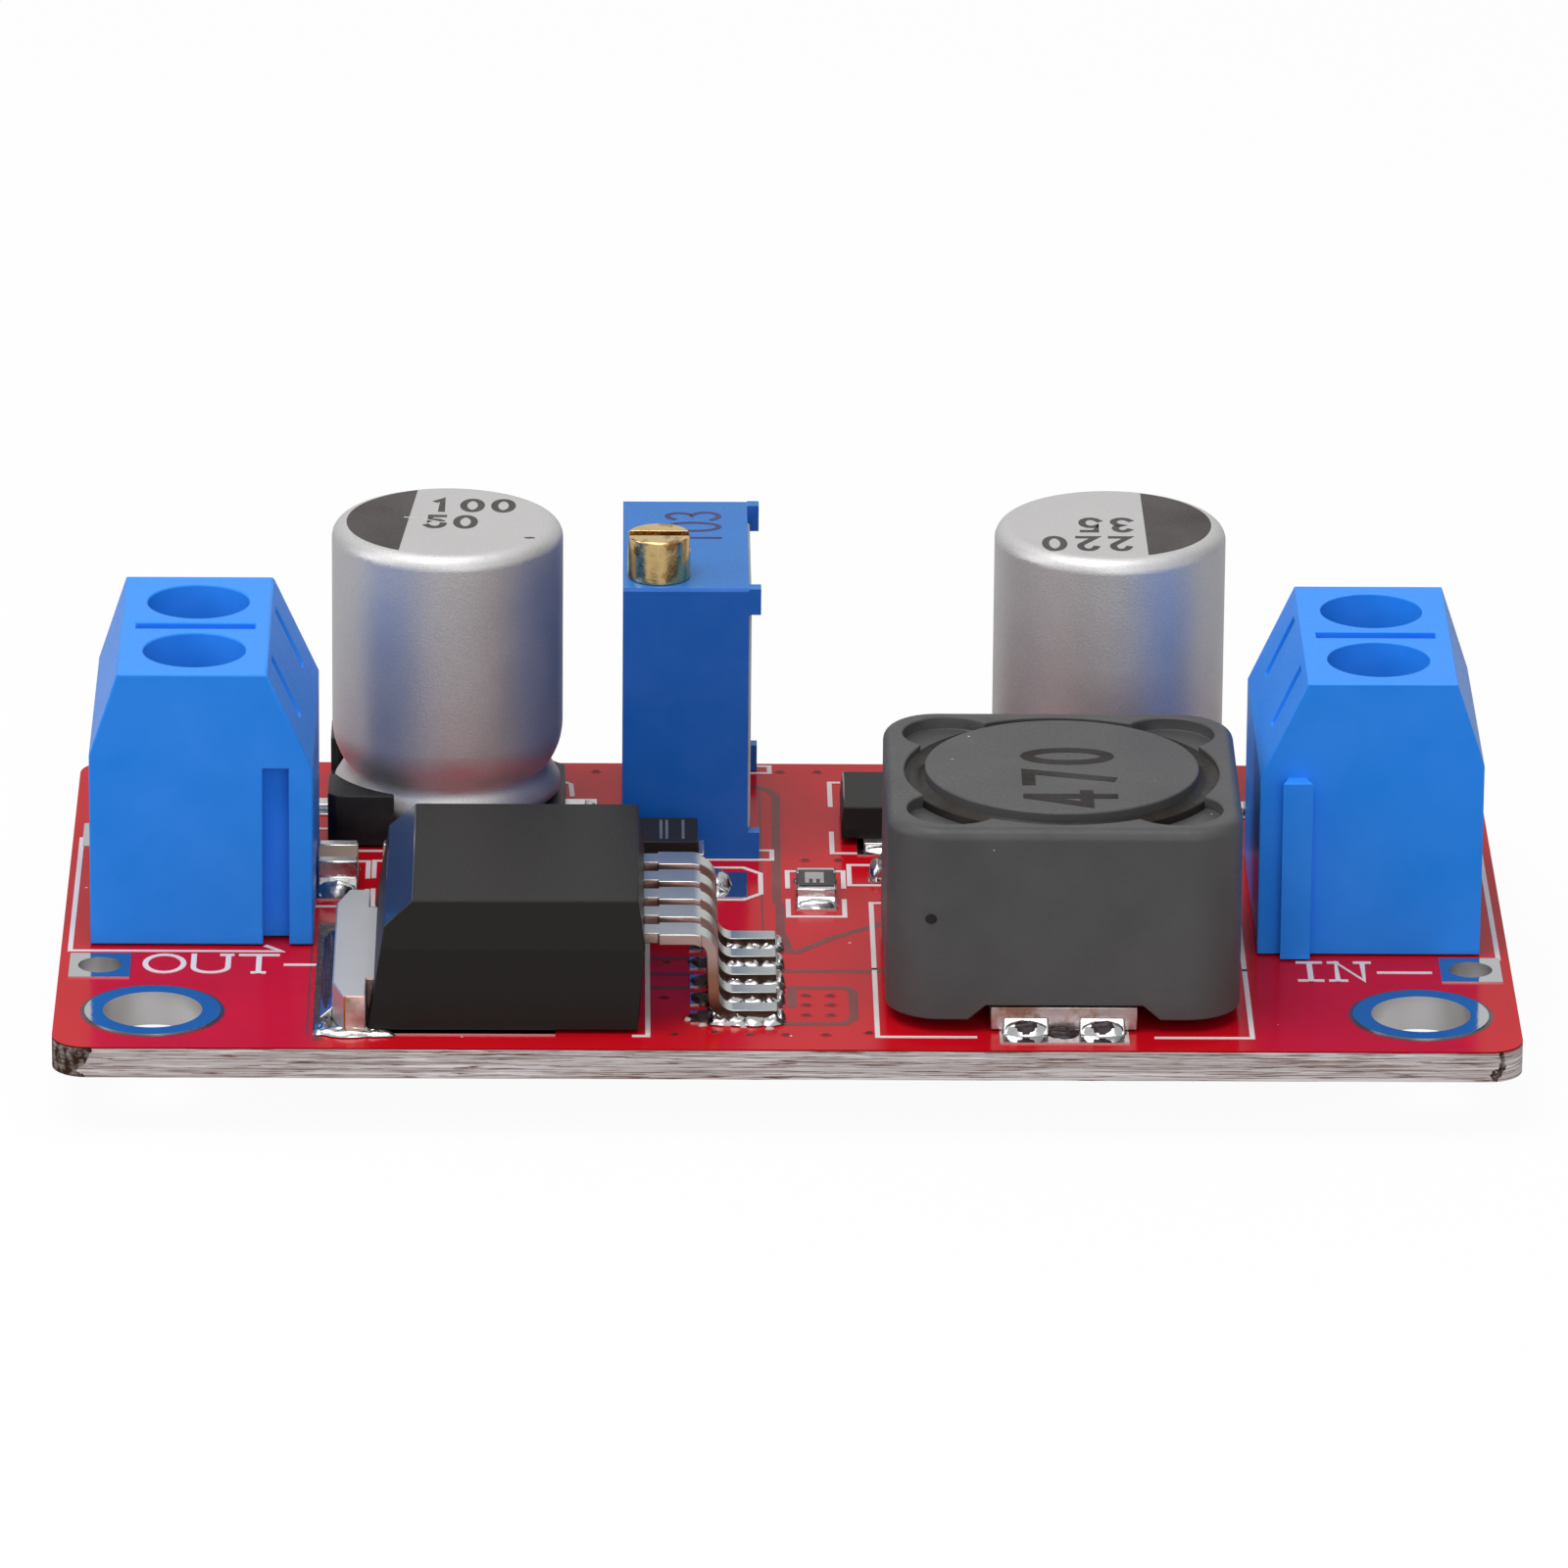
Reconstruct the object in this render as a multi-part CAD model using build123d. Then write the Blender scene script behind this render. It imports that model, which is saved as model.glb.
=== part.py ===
from build123d import *
from math import atan2, degrees
import os

# Small DC-DC voltage regulator module, in mm. +Z up, +X towards the input side, +Y towards the
# back edge. The origin is the centre of the mounting-hole pattern on the board's underside.

# Circuit board
board_x = 50.0
board_y = 28.5
board_t = 1.1
board_corner_r = 1.2

# Mounting holes and their plated linings
mount_dx = 43.3
mount_dy = 21.6
mount_hole_r = 1.7
mount_ring_r = 2.33
plating = 0.1
wire_plating = 0.15
pad_t = 0.05
plating_gap = 0.02

# How far a cutting solid runs past what it cuts, and into another cut that it joins
cut_past = 1.0
overlap = 0.1

# Solder pads with a hole for a wire, one beside each terminal
wire_pad_x = 23.6
wire_pad_dy = 13.0
wire_hole_r = 0.75
wire_pad_sx = 2.1
wire_pad_sy = 2.3

# Terminal blocks. u runs from the outer face inwards, v is the height above the board.
block_outer_x = 24.0
block_w = 7.7
block_l = 10.3
block_h = 9.93
block_raise = 0.05
block_y = {"left": 0.65, "right": 0.12}
pole_pitch = 5.08
outer_slope_u = 0.98
outer_shoulder_v = 6.95
inner_slope_u = 1.57
inner_shoulder_v = 6.5
screw_u = 3.58
screw_hole_r = 1.775
cavity_w = 4.0
cavity_u = 5.75
floor_v = 0.9
ceiling_v = 5.3
slit_w = 0.6
slit_depth = 0.45
slit_margin = 0.5
dovetail_u = 6.42
groove_mouth = 0.88
groove_root = 1.15
groove_depth = 0.8
rib_out = 0.55
rib_mouth = 0.65
rib_tip = 1.05
slot_w = 0.65
slot_l = 2.3
slot_depth = 0.45
slot_rise = 0.61

# Metal parts inside each terminal
contact_w = 3.6
contact_t = 0.4
contact_in = 1.2
contact_end_gap = 0.1
clamp_plate_t = 1.0
clamp_plate_in = 1.7
ceiling_gap = 0.1
terminal_pin_r = 0.5
terminal_pin_u = 4.0
pin_below = 2.0
pin_hole_gap = 0.15
guard_t = 0.3
guard_w = 3.2
guard_gap = 0.05
screw_thread_r = 1.25
thread_gap = 0.05
head_r = 1.65
head_h = 1.4
head_v = 7.1
head_slot_w = 0.5
head_slot_depth = 0.7
head_edge = 0.15
tip_gap = 0.02

# Trimming potentiometer
trim_x0 = -5.63
trim_sx = 4.4
trim_lug = 0.42
trim_y0 = 4.35
trim_sy = 9.6
trim_sz = 10.0
trim_raise = 0.05
trim_edge = 0.1
lug_h = 0.95
lug_y = 0.55
trim_screw_in_x = 1.25
trim_screw_in_y = 1.42
trim_head_r = 1.1
trim_head_h = 1.58
trim_head_edge = 0.05
trim_shaft_r = 0.75
trim_shaft_l = 8.2
trim_slot_w = 0.5
trim_slot_depth = 0.6
run_gap = 0.05
wheel_r = 3.3
wheel_t = 1.3
wheel_hub_r = 1.4
wheel_clear = 0.15
axle_r = 0.6
cover_t = 0.8
cover_out = 0.1
cover_margin_y = 0.6
cover_margin_z = 0.55
trim_pin_r = 0.25
trim_pin_pitch = 2.54
trim_pin_x = -3.2

# Electrolytic capacitors
can_r = 4.08
can_h = 10.06
can_y = 9.5
can_edge_r = 0.55
foot_r = 3.99
foot_lip = 0.25
foot_h = 0.56
neck_r = 3.58
neck_h = 1.22
waist_in = 0.15
waist_h = 1.85
wall_h = 2.7
base_s = 8.35
base_t = 0.62
base_raise = 0.08
base_gap = {"left": 0.295, "right": 0.575}
post_s = 2.34
post_h = 1.87
post_gap = 0.25
base_chamfer = 1.5
base_small_chamfer = 0.3
cap_lead_w = 0.7
cap_lead_t = 0.2
cap_lead_in = 1.0
cap_lead_out = 0.75
lead_slot_gap = 0.05

# Shielded power inductor
ind_gap = 0.85
ind_y = -6.55
ind_s = 12.1
ind_raise = 0.46
ind_h = 6.86
ind_corner_r = 1.9
ind_edge_r = 0.4
ind_bore_r = 5.4
drum_r = 4.7
drum_core_r = 2.6
drum_lower_t = 1.2
drum_upper_t = 1.3
drum_proud = 0.15
winding_gap = 0.06
winding_in = 0.2
pocket_r = 1.6
pocket_at = 5.35
pocket_depth = 0.45
notch_w = 5.35
notch_foot_w = 6.55
notch_h = 0.52
ind_term_w = 5.0
ind_term_t = 0.3
ind_term_l = 2.6
ind_lip_t = 0.25
ind_lip_h = 0.85
ind_lip_in = 0.12

# Five-lead regulator in a flat power package
reg_gap = 0.8
reg_l = 9.44
reg_w = 10.1
reg_y = -7.8
reg_z0 = 0.12
reg_top = 4.73
reg_lean = 0.59
reg_bevel_x = 0.95
reg_bevel_z = 0.86
reg_side_lean = 0.22
reg_end_draft = 0.24
tab_t = 1.35
tab_out = 1.2
tab_w = 10.4
tab_corner_x = 0.42
tab_corner_y = 1.35
tab_notch_w = 0.05
tab_notch_l = 1.7
tab_under = 6.2

# Its leads; X runs from the body's end
lead_pitch = 1.74
lead_count = 5
lead_t = 0.38
lead_top = 3.25
lead_w = 0.81
lead_shoulder_w = 1.22
lead_root_w = 0.9
lead_in = 0.64
lead_wide_from = 0.46
lead_wide_to = 1.91
lead_drop = 2.26
lead_drop_slant = 0.1
lead_end = 4.52
lead_bend_r = 0.5

# Rectifier diode, long axis along Y
rect_from_can = 7.65
rect_y = 7.75
rect_w = 3.6
rect_l = 3.9
rect_top = 1.4
rect_mid = 0.6
rect_draft = 6
rect_term_w = 2.0
rect_term_out = 0.45
rect_term_t = 0.2
rect_term_in = 0.9

# Small diode, long axis along X
diode_x = -5.13
diode_y = 1.65
diode_l = 4.3
diode_w = 2.5
diode_top = 2.1
diode_draft = 2
diode_term_w = 1.45
diode_term_in = 1.0
diode_term_h = 1.45

# Chip resistor and chip capacitors
chip_l = 2.15
chip_w = 1.38
chip_cap_l = 0.5
resistor_h = 0.55
ceramic_h = 1.2
resistor_x = 1.14
resistor_y = 0.85
ceramic_gap = 0.05
ceramic_pitch = 2.25
first_ceramic_y = 1.69
second_ceramic_y = 1.75
lone_ceramic_x = 4.6
lone_ceramic_y = 2.75

# Solder pads on the board's top; each part's pads run from its own centre, body end or metal
tab_pad_out = 0.65
tab_pad_in = 6.4
tab_pad_w = 10.4
lead_pad_from = 1.56
lead_pad_to = 4.78
lead_pad_w = 1.1
ind_pad_in = 2.85
ind_pad_out = 1.05
ind_pad_w = 4.4
rect_pad_from = 1.1
rect_pad_to = 3.0
rect_pad_w = 2.5
diode_pad_from = 1.3
diode_pad_to = 3.88
diode_pad_w = 2.54
cap_pad_from = 1.6
cap_pad_to = 5.3
cap_pad_w = 1.7
chip_pad_from = 0.45
chip_pad_to = 1.6
chip_pad_w = 1.4

# Solder: cones round the pins under the board, and fillets (run along the board, rise up the metal)
cone_r = 1.15
cone_h = 1.1
small_cone_r = 0.75
small_cone_h = 0.8
cone_tip = 0.2
cone_gap = 0.03
ind_bead_dx = 1.3
ind_bead_w = 1.55
ind_bead_run = 0.5
ind_bead_rise = 0.5
rect_bead_run = 0.35
diode_bead_run = 0.9
diode_bead_rise = 0.6
cap_bead_run = 0.3
lead_bead_run = 0.22
lead_bead_rise = 0.3
tab_bead_run = 0.5
tab_bead_rise = 0.45
chip_bead_run = 0.45
chip_bead_share = 0.55

# Places worked out from the sizes above
top = board_t
seat = board_t + pad_t
block_inner_x = block_outer_x - block_w
can_centre = {
    "left": -block_inner_x + base_gap["left"] + base_s / 2,
    "right": block_inner_x - base_gap["right"] - base_s / 2,
}
ind_x = block_inner_x - ind_gap - ind_s / 2
reg_x0 = -block_inner_x + reg_gap + tab_out
reg_x1 = reg_x0 + reg_l
rect_x = can_centre["right"] - rect_from_can
first_ceramic_x = -block_inner_x + ceramic_gap + chip_w / 2
ceramics_at = [
    (first_ceramic_x, first_ceramic_y, 90),
    (first_ceramic_x + ceramic_pitch, second_ceramic_y, 90),
    (lone_ceramic_x, lone_ceramic_y, 0),
]


def block(x0, x1, y0, y1, z0, z1):
    return Pos((x0 + x1) / 2, (y0 + y1) / 2, (z0 + z1) / 2) * Box(x1 - x0, y1 - y0, z1 - z0)


def post(r, x, y, z0, z1):
    return Pos(x, y, (z0 + z1) / 2) * Cylinder(r, z1 - z0)


def along_y(points, y0, y1):
    # a solid from a section in X and Z, pushed from y0 to y1
    face = make_face(Polyline(*points, close=True))
    return Pos(0, y1, 0) * extrude(Plane.XZ * face, amount=y1 - y0)


def corners(dx, dy):
    return [(sx * dx / 2, sy * dy / 2) for sx in (-1, 1) for sy in (-1, 1)]


def export(name, solids):
    parts = solids if isinstance(solids, list) else [solids]
    pieces = []
    for part in parts:
        pieces += part.solids()
    shape = pieces[0] if len(pieces) == 1 else Compound(children=pieces)
    export_step(shape, f"parts/{name}.step")


def turned(part, side):
    # The right block is the left one turned half round, each about its own place on the board.
    if side == "left":
        return Pos(0, block_y["left"], 0) * part
    return Pos(0, block_y["right"], 0) * Rot(0, 0, 180) * part


def u_to_x(u):
    return u - block_outer_x


def pole_places(side):
    # the front pole of the left block is at -Y; on the turned block it is at +Y of its own axes
    sign = 1 if side == "left" else -1
    return {"front": -sign * pole_pitch / 2, "back": sign * pole_pitch / 2}


def terminal_pin_places():
    places = []
    for side, sign in (("left", 1), ("right", -1)):
        for end in (-1, 1):
            x = sign * u_to_x(terminal_pin_u)
            places.append((x, block_y[side] + end * pole_pitch / 2))
    return places


def trimmer_pin_places():
    yc = trim_y0 + trim_sy / 2
    return [(trim_pin_x, yc + k * trim_pin_pitch) for k in (-1, 0, 1)]


def make_board():
    plate = Pos(0, 0, board_t / 2) * Box(board_x, board_y, board_t)
    plate = round_upright_edges(plate, board_corner_r)
    for x, y in corners(mount_dx, mount_dy):
        plate -= post(mount_hole_r + plating + plating_gap, x, y, -cut_past, board_t + cut_past)
    for x, y in corners(2 * wire_pad_x, wire_pad_dy):
        plate -= post(wire_hole_r + wire_plating + plating_gap, x, y, -cut_past, board_t + cut_past)
    for x, y in terminal_pin_places():
        plate -= post(terminal_pin_r + pin_hole_gap, x, y, -cut_past, board_t + cut_past)
    for x, y in trimmer_pin_places():
        plate -= post(trim_pin_r + pin_hole_gap, x, y, -cut_past, board_t + cut_past)
    return plate


def round_upright_edges(shape, radius):
    return shape.fillet(radius, shape.edges().filter_by(Axis.Z))


def lining(x, y, flange, bore_r, wall):
    # a plated hole: flange pads on both faces joined by a thin tube
    tube = post(bore_r + wall, x, y, -pad_t, top + pad_t)
    return tube + flange - post(bore_r, x, y, -cut_past, top + cut_past)


def make_mount_linings():
    rings = []
    for x, y in corners(mount_dx, mount_dy):
        flange = post(mount_ring_r, x, y, top, top + pad_t) + post(mount_ring_r, x, y, -pad_t, 0)
        rings.append(lining(x, y, flange, mount_hole_r, plating))
    return rings


def make_wire_pads():
    pads = []
    for x, y in corners(2 * wire_pad_x, wire_pad_dy):
        x0, x1 = x - wire_pad_sx / 2, x + wire_pad_sx / 2
        y0, y1 = y - wire_pad_sy / 2, y + wire_pad_sy / 2
        flange = block(x0, x1, y0, y1, top, top + pad_t) + block(x0, x1, y0, y1, -pad_t, 0)
        pads.append(lining(x, y, flange, wire_hole_r, wire_plating))
    return pads


def block_profile():
    w = block_w
    points = [
        (0, block_raise), (0, outer_shoulder_v), (outer_slope_u, block_h),
        (w - inner_slope_u, block_h), (w, inner_shoulder_v), (w, block_raise),
    ]
    return [(u_to_x(u), top + v) for u, v in points]


def dovetail(y_face, sign, mouth, inner, depth):
    # a prism standing on the face at y_face; sign is the way it runs from there
    x = u_to_x(dovetail_u)
    y1 = y_face + sign * depth
    points = [(x - mouth / 2, y_face), (x + mouth / 2, y_face), (x + inner / 2, y1), (x - inner / 2, y1)]
    section = make_face(Polyline(*points, close=True))
    height = inner_shoulder_v - block_raise
    return Pos(0, 0, top + block_raise) * extrude(section, amount=height, dir=(0, 0, 1))


def make_housing(side):
    half = block_l / 2
    body = along_y(block_profile(), -half, half)
    body -= dovetail(-half, 1, groove_mouth, groove_root, groove_depth)
    body += dovetail(half, 1, rib_mouth, rib_tip, rib_out)
    x_top0 = u_to_x(outer_slope_u + slit_margin)
    x_top1 = u_to_x(block_w - inner_slope_u - slit_margin)
    z_past = top + block_h + cut_past
    body -= block(x_top0, x_top1, -slit_w / 2, slit_w / 2, top + block_h - slit_depth, z_past)
    for y in (-pole_pitch / 2, pole_pitch / 2):
        body -= block(u_to_x(-cut_past), u_to_x(cavity_u), y - cavity_w / 2, y + cavity_w / 2,
                      top + floor_v, top + ceiling_v)
        body -= post(screw_hole_r, u_to_x(screw_u), y, top + ceiling_v - overlap, z_past)
        body -= post(terminal_pin_r + pin_hole_gap, u_to_x(terminal_pin_u), y, top, top + floor_v + overlap)
        body -= slope_slot(y)
    return turned(body, side)


def slope_slot(y):
    # a slot in the inner slope, cut straight down the slope's fall line
    rise = block_h - inner_shoulder_v
    u = block_w - slot_rise * inner_slope_u
    v = inner_shoulder_v + slot_rise * rise
    angle = degrees(atan2(inner_slope_u, rise))
    return Pos(u_to_x(u), y, top + v) * Rot(0, -angle, 0) * Box(2 * slot_depth, slot_w, slot_l)


def make_contact(y):
    x0 = u_to_x(contact_in)
    x1 = u_to_x(cavity_u - contact_end_gap)
    y0, y1 = y - contact_w / 2, y + contact_w / 2
    z0 = top + floor_v
    z1 = top + ceiling_v - ceiling_gap
    body = block(x0, x1, y0, y1, z0, z0 + contact_t)
    body += block(x1 - contact_t, x1, y0, y1, z0, z1)
    body += block(u_to_x(clamp_plate_in), x1, y0, y1, z1 - clamp_plate_t, z1)
    hole_r = screw_thread_r + thread_gap
    body -= post(hole_r, u_to_x(screw_u), y, z1 - clamp_plate_t - cut_past, z1 + cut_past)
    body += post(terminal_pin_r, u_to_x(terminal_pin_u), y, -pin_below, z0 + contact_t / 2)
    return body


def make_contacts(side):
    return [turned(make_contact(y), side) for y in (-pole_pitch / 2, pole_pitch / 2)]


def guard_top_v():
    return ceiling_v - ceiling_gap - clamp_plate_t - guard_gap


def make_guard(side, place):
    y = pole_places(side)[place]
    z1 = top + guard_top_v()
    x1 = u_to_x(cavity_u - contact_end_gap - contact_t - contact_end_gap)
    strip = block(u_to_x(contact_in), x1, y - guard_w / 2, y + guard_w / 2, z1 - guard_t, z1)
    lip = block(u_to_x(contact_in), u_to_x(contact_in) + guard_t, y - guard_w / 2, y + guard_w / 2,
                z1 - guard_t, z1 + guard_gap + guard_t)
    return turned(strip + lip, side)


def make_terminal_screw(side, place):
    y = pole_places(side)[place]
    x = u_to_x(screw_u)
    head = post(head_r, x, y, top + head_v, top + head_v + head_h)
    head = chamfer_top(head, head_edge)
    shank = post(screw_thread_r, x, y, top + guard_top_v() + tip_gap, top + head_v)
    slot_z = top + head_v + head_h
    slot = block(x - head_slot_w / 2, x + head_slot_w / 2, y - 2 * head_r, y + 2 * head_r,
                 slot_z - head_slot_depth, slot_z + cut_past)
    return turned(head + shank - slot, side)


def chamfer_top(shape, size):
    return shape.chamfer(size, None, shape.faces().sort_by(Axis.Z)[-1].edges())


def trim_axis():
    return trim_x0 + trim_screw_in_x, trim_y0 + trim_screw_in_y


def wheel_centre():
    x, y = trim_axis()
    yc = y + trim_shaft_r + run_gap + wheel_r
    return x, yc, top + trim_raise + trim_sz / 2


def x_disc(r, x0, x1, y, z):
    return Pos((x0 + x1) / 2, y, z) * Rot(0, 90, 0) * Cylinder(r, x1 - x0)


def make_trimmer_housing():
    x1 = trim_x0 + trim_sx
    y1 = trim_y0 + trim_sy
    z0, z1 = top + trim_raise, top + trim_raise + trim_sz
    body = block(trim_x0, x1, trim_y0, y1, z0, z1)
    body = body.chamfer(trim_edge, None, body.faces().sort_by(Axis.Z)[-1].edges().filter_by(Axis.X))
    for ya, yb in ((trim_y0, trim_y0 + lug_y), (y1 - lug_y, y1)):
        for za, zb in ((z0, z0 + lug_h), (z1 - lug_h, z1)):
            body += block(x1, x1 + trim_lug, ya, yb, za, zb)
    cy0, cy1 = trim_y0 + cover_margin_y, y1 - cover_margin_y
    cz0, cz1 = z0 + cover_margin_z, z1 - cover_margin_z
    body -= block(x1 - cover_t, x1 + 2 * trim_lug, cy0, cy1, cz0, cz1)
    xs, ys = trim_axis()
    body -= post(trim_shaft_r + run_gap, xs, ys, z1 - trim_shaft_l - wheel_clear, z1 + cut_past)
    xw, yw, zw = wheel_centre()
    body -= x_disc(wheel_r + wheel_clear, xw - wheel_t / 2 - wheel_clear, x1, yw, zw)
    return body


def make_trimmer_cover():
    x1 = trim_x0 + trim_sx
    z0, z1 = top + trim_raise, top + trim_raise + trim_sz
    y0 = trim_y0 + cover_margin_y + run_gap
    y1 = trim_y0 + trim_sy - cover_margin_y - run_gap
    margin = cover_margin_z + run_gap
    plate = block(x1 - cover_t, x1 + cover_out, y0, y1, z0 + margin, z1 - margin)
    xw, yw, zw = wheel_centre()
    axle = x_disc(axle_r, xw - wheel_t / 2 - wheel_clear, x1 - cover_t, yw, zw)
    return plate + axle


def make_trimmer_wheel():
    xw, yw, zw = wheel_centre()
    x1 = trim_x0 + trim_sx - cover_t - wheel_clear
    disc = x_disc(wheel_r, xw - wheel_t / 2, xw + wheel_t / 2, yw, zw)
    hub = x_disc(wheel_hub_r, xw + wheel_t / 2, x1, yw, zw)
    return disc + hub - x_disc(axle_r + run_gap, xw - wheel_t, x1 + cut_past, yw, zw)


def make_trimmer_screw():
    x, y = trim_axis()
    z1 = top + trim_raise + trim_sz
    head = post(trim_head_r, x, y, z1 + tip_gap, z1 + trim_head_h)
    head = chamfer_top(head, trim_head_edge)
    shaft = post(trim_shaft_r, x, y, z1 - trim_shaft_l, z1 + tip_gap)
    slot = block(x - 2 * trim_head_r, x + 2 * trim_head_r, y - trim_slot_w / 2, y + trim_slot_w / 2,
                 z1 + trim_head_h - trim_slot_depth, z1 + trim_head_h + cut_past)
    return head + shaft - slot


def make_trimmer_pins():
    return [post(trim_pin_r, x, y, -pin_below, top + trim_raise) for x, y in trimmer_pin_places()]


def make_can(x):
    z = top + base_raise + base_t
    neck = (neck_r, z + neck_h)
    wall = (can_r, z + wall_h)
    foot = Polyline((0, z), (foot_r - foot_lip, z), (foot_r, z + foot_lip), (foot_r, z + foot_h), neck)
    waist = ThreePointArc(neck, (can_r - waist_in, z + waist_h), wall)
    shell = Polyline(wall, (can_r, z + can_h), (0, z + can_h), (0, z))
    can = revolve(Plane.XZ * make_face(foot.edges() + waist.edges() + shell.edges()), Axis.Z)
    rim = can.faces().sort_by(Axis.Z)[-1].edges()
    return Pos(x, can_y, 0) * can.fillet(can_edge_r, rim)


def make_cap_base(x, plus):
    # plus is the side, -1 or 1 along X, whose two corners are cut off; the posts stand on the other side
    h = base_s / 2
    z0 = top + base_raise
    plate = block(-h, h, -h, h, z0, z0 + base_t)
    cx = -plus * (h - post_s / 2)
    for cy in (post_s / 2 - h, h - post_s / 2):
        plate += block(cx - post_s / 2, cx + post_s / 2, cy - post_s / 2, cy + post_s / 2, z0, z0 + post_h)
    plate -= post(can_r + post_gap, 0, 0, z0 + base_t, z0 + post_h + cut_past)
    for sy in (-1, 1):
        plate -= corner_cut(plus, sy, base_chamfer, z0)
        plate -= corner_cut(-plus, sy, base_small_chamfer, z0)
    slot = cap_lead_w / 2 + lead_slot_gap
    x_in, x_past = cap_lead_in - lead_slot_gap, h + cut_past
    plate -= block(-x_past, -x_in, -slot, slot, z0 - cut_past, seat + cap_lead_t)
    plate -= block(x_in, x_past, -slot, slot, z0 - cut_past, seat + cap_lead_t)
    return Pos(x, can_y, 0) * plate


def corner_cut(sx, sy, size, z0):
    h = base_s / 2
    reach = size * 2 ** 0.5
    return Pos(sx * h, sy * h, z0 + post_h / 2) * Rot(0, 0, 45) * Box(reach, reach, 2 * post_h + cut_past)


def make_cap_leads(x):
    h = base_s / 2
    leads = []
    for s in (-1, 1):
        a, b = sorted((s * cap_lead_in, s * (h + cap_lead_out)))
        strip = block(a, b, -cap_lead_w / 2, cap_lead_w / 2, seat, seat + cap_lead_t)
        leads.append(Pos(x, can_y, 0) * strip)
    return leads


def ind_block(size, z0, z1):
    return Pos(ind_x, ind_y, (z0 + z1) / 2) * Box(size, size, z1 - z0)


def make_shield():
    z0 = top + ind_raise
    z1 = z0 + ind_h
    body = round_upright_edges(ind_block(ind_s, z0, z1), ind_corner_r)
    body = body.fillet(ind_edge_r, body.faces().sort_by(Axis.Z)[-1].edges())
    body -= post(ind_bore_r, ind_x, ind_y, z0 - cut_past, z1 + cut_past)
    for sx, sy in corners(2, 2):
        px = ind_x + sx * pocket_at * 0.5 ** 0.5
        py = ind_y + sy * pocket_at * 0.5 ** 0.5
        body -= post(pocket_r, px, py, z1 - pocket_depth, z1 + cut_past)
    foot, roof = notch_foot_w / 2, notch_w / 2
    z_roof = z0 + notch_h
    notch = [(ind_x - foot, z0), (ind_x + foot, z0), (ind_x + roof, z_roof), (ind_x - roof, z_roof)]
    return body - along_y(notch, ind_y - ind_s, ind_y + ind_s)


def drum_bottom():
    return seat + ind_term_t


def drum_top():
    return top + ind_raise + ind_h + drum_proud


def make_drum():
    z0 = drum_bottom()
    z1 = drum_top()
    body = post(drum_r, ind_x, ind_y, z0, z0 + drum_lower_t)
    body += post(drum_core_r, ind_x, ind_y, z0, z1)
    body += post(drum_r, ind_x, ind_y, z1 - drum_upper_t, z1)
    return body


def make_winding():
    z0 = drum_bottom() + drum_lower_t
    z1 = drum_top() - drum_upper_t - winding_gap
    coil = post(drum_r - winding_in, ind_x, ind_y, z0, z1)
    return coil - post(drum_core_r + winding_gap, ind_x, ind_y, z0 - cut_past, z1 + cut_past)


def make_ind_terminals():
    clips = []
    for s in (-1, 1):
        y_out = s * (ind_s / 2 - ind_lip_in)
        y_in = s * (ind_s / 2 - ind_lip_in - ind_term_l)
        y_lip = s * (ind_s / 2 - ind_lip_in - ind_lip_t)
        x0, x1 = ind_x - ind_term_w / 2, ind_x + ind_term_w / 2
        a, b = sorted((ind_y + y_out, ind_y + y_in))
        c, d = sorted((ind_y + y_out, ind_y + y_lip))
        foot = block(x0, x1, a, b, seat, seat + ind_term_t)
        clips.append(foot + block(x0, x1, c, d, seat, seat + ind_lip_h))
    return clips


def make_reg_body():
    x0, x1 = reg_x0, reg_x1
    z0, z1 = top + reg_z0, top + reg_top
    lead_mid = top + lead_top - lead_t / 2
    points = [
        (x0, z0), (x0 + reg_lean, z1 - reg_bevel_z), (x0 + reg_lean + reg_bevel_x, z1),
        (x1 - reg_end_draft, z1), (x1, lead_mid), (x1 - reg_end_draft, z0),
    ]
    body = along_y(points, reg_y - reg_w / 2, reg_y + reg_w / 2)
    for s in (-1, 1):
        # above the leads both long sides lean in towards the top
        y = reg_y + s * reg_w / 2
        lean = make_face(Polyline((y, lead_mid), (y, z1), (y - s * reg_side_lean, z1), close=True))
        wedge_l = reg_l + 2 * cut_past
        body -= Pos(x0 - cut_past, 0, 0) * extrude(Plane.YZ * lean, amount=wedge_l, dir=(1, 0, 0))
    for y in lead_rows():
        body -= lead_socket(y)
    return body - make_tab()


def lead_rows():
    return [reg_y + (k - (lead_count - 1) / 2) * lead_pitch for k in range(lead_count)]


def lead_socket(y):
    z1 = top + lead_top
    x_past = reg_x1 + cut_past
    return block(reg_x1 - lead_in, x_past, y - lead_root_w / 2, y + lead_root_w / 2, z1 - lead_t, z1)


def make_tab():
    # the heat-spreading tab: a wide head outside the body, notched where it enters, and a plate under it
    h = tab_w / 2
    m = h - tab_notch_l
    x0 = reg_x0 - tab_out
    x1 = reg_x0 - tab_notch_w
    x2 = reg_x0 + tab_under
    points = [
        (x0, tab_corner_y - h), (x0 + tab_corner_x, -h), (x1, -h), (x1, -m), (x2, -m),
        (x2, m), (x1, m), (x1, h), (x0 + tab_corner_x, h), (x0, h - tab_corner_y),
    ]
    face = make_face(Polyline(*points, close=True))
    return Pos(0, reg_y, seat) * extrude(face, amount=tab_t, dir=(0, 0, 1))


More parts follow.
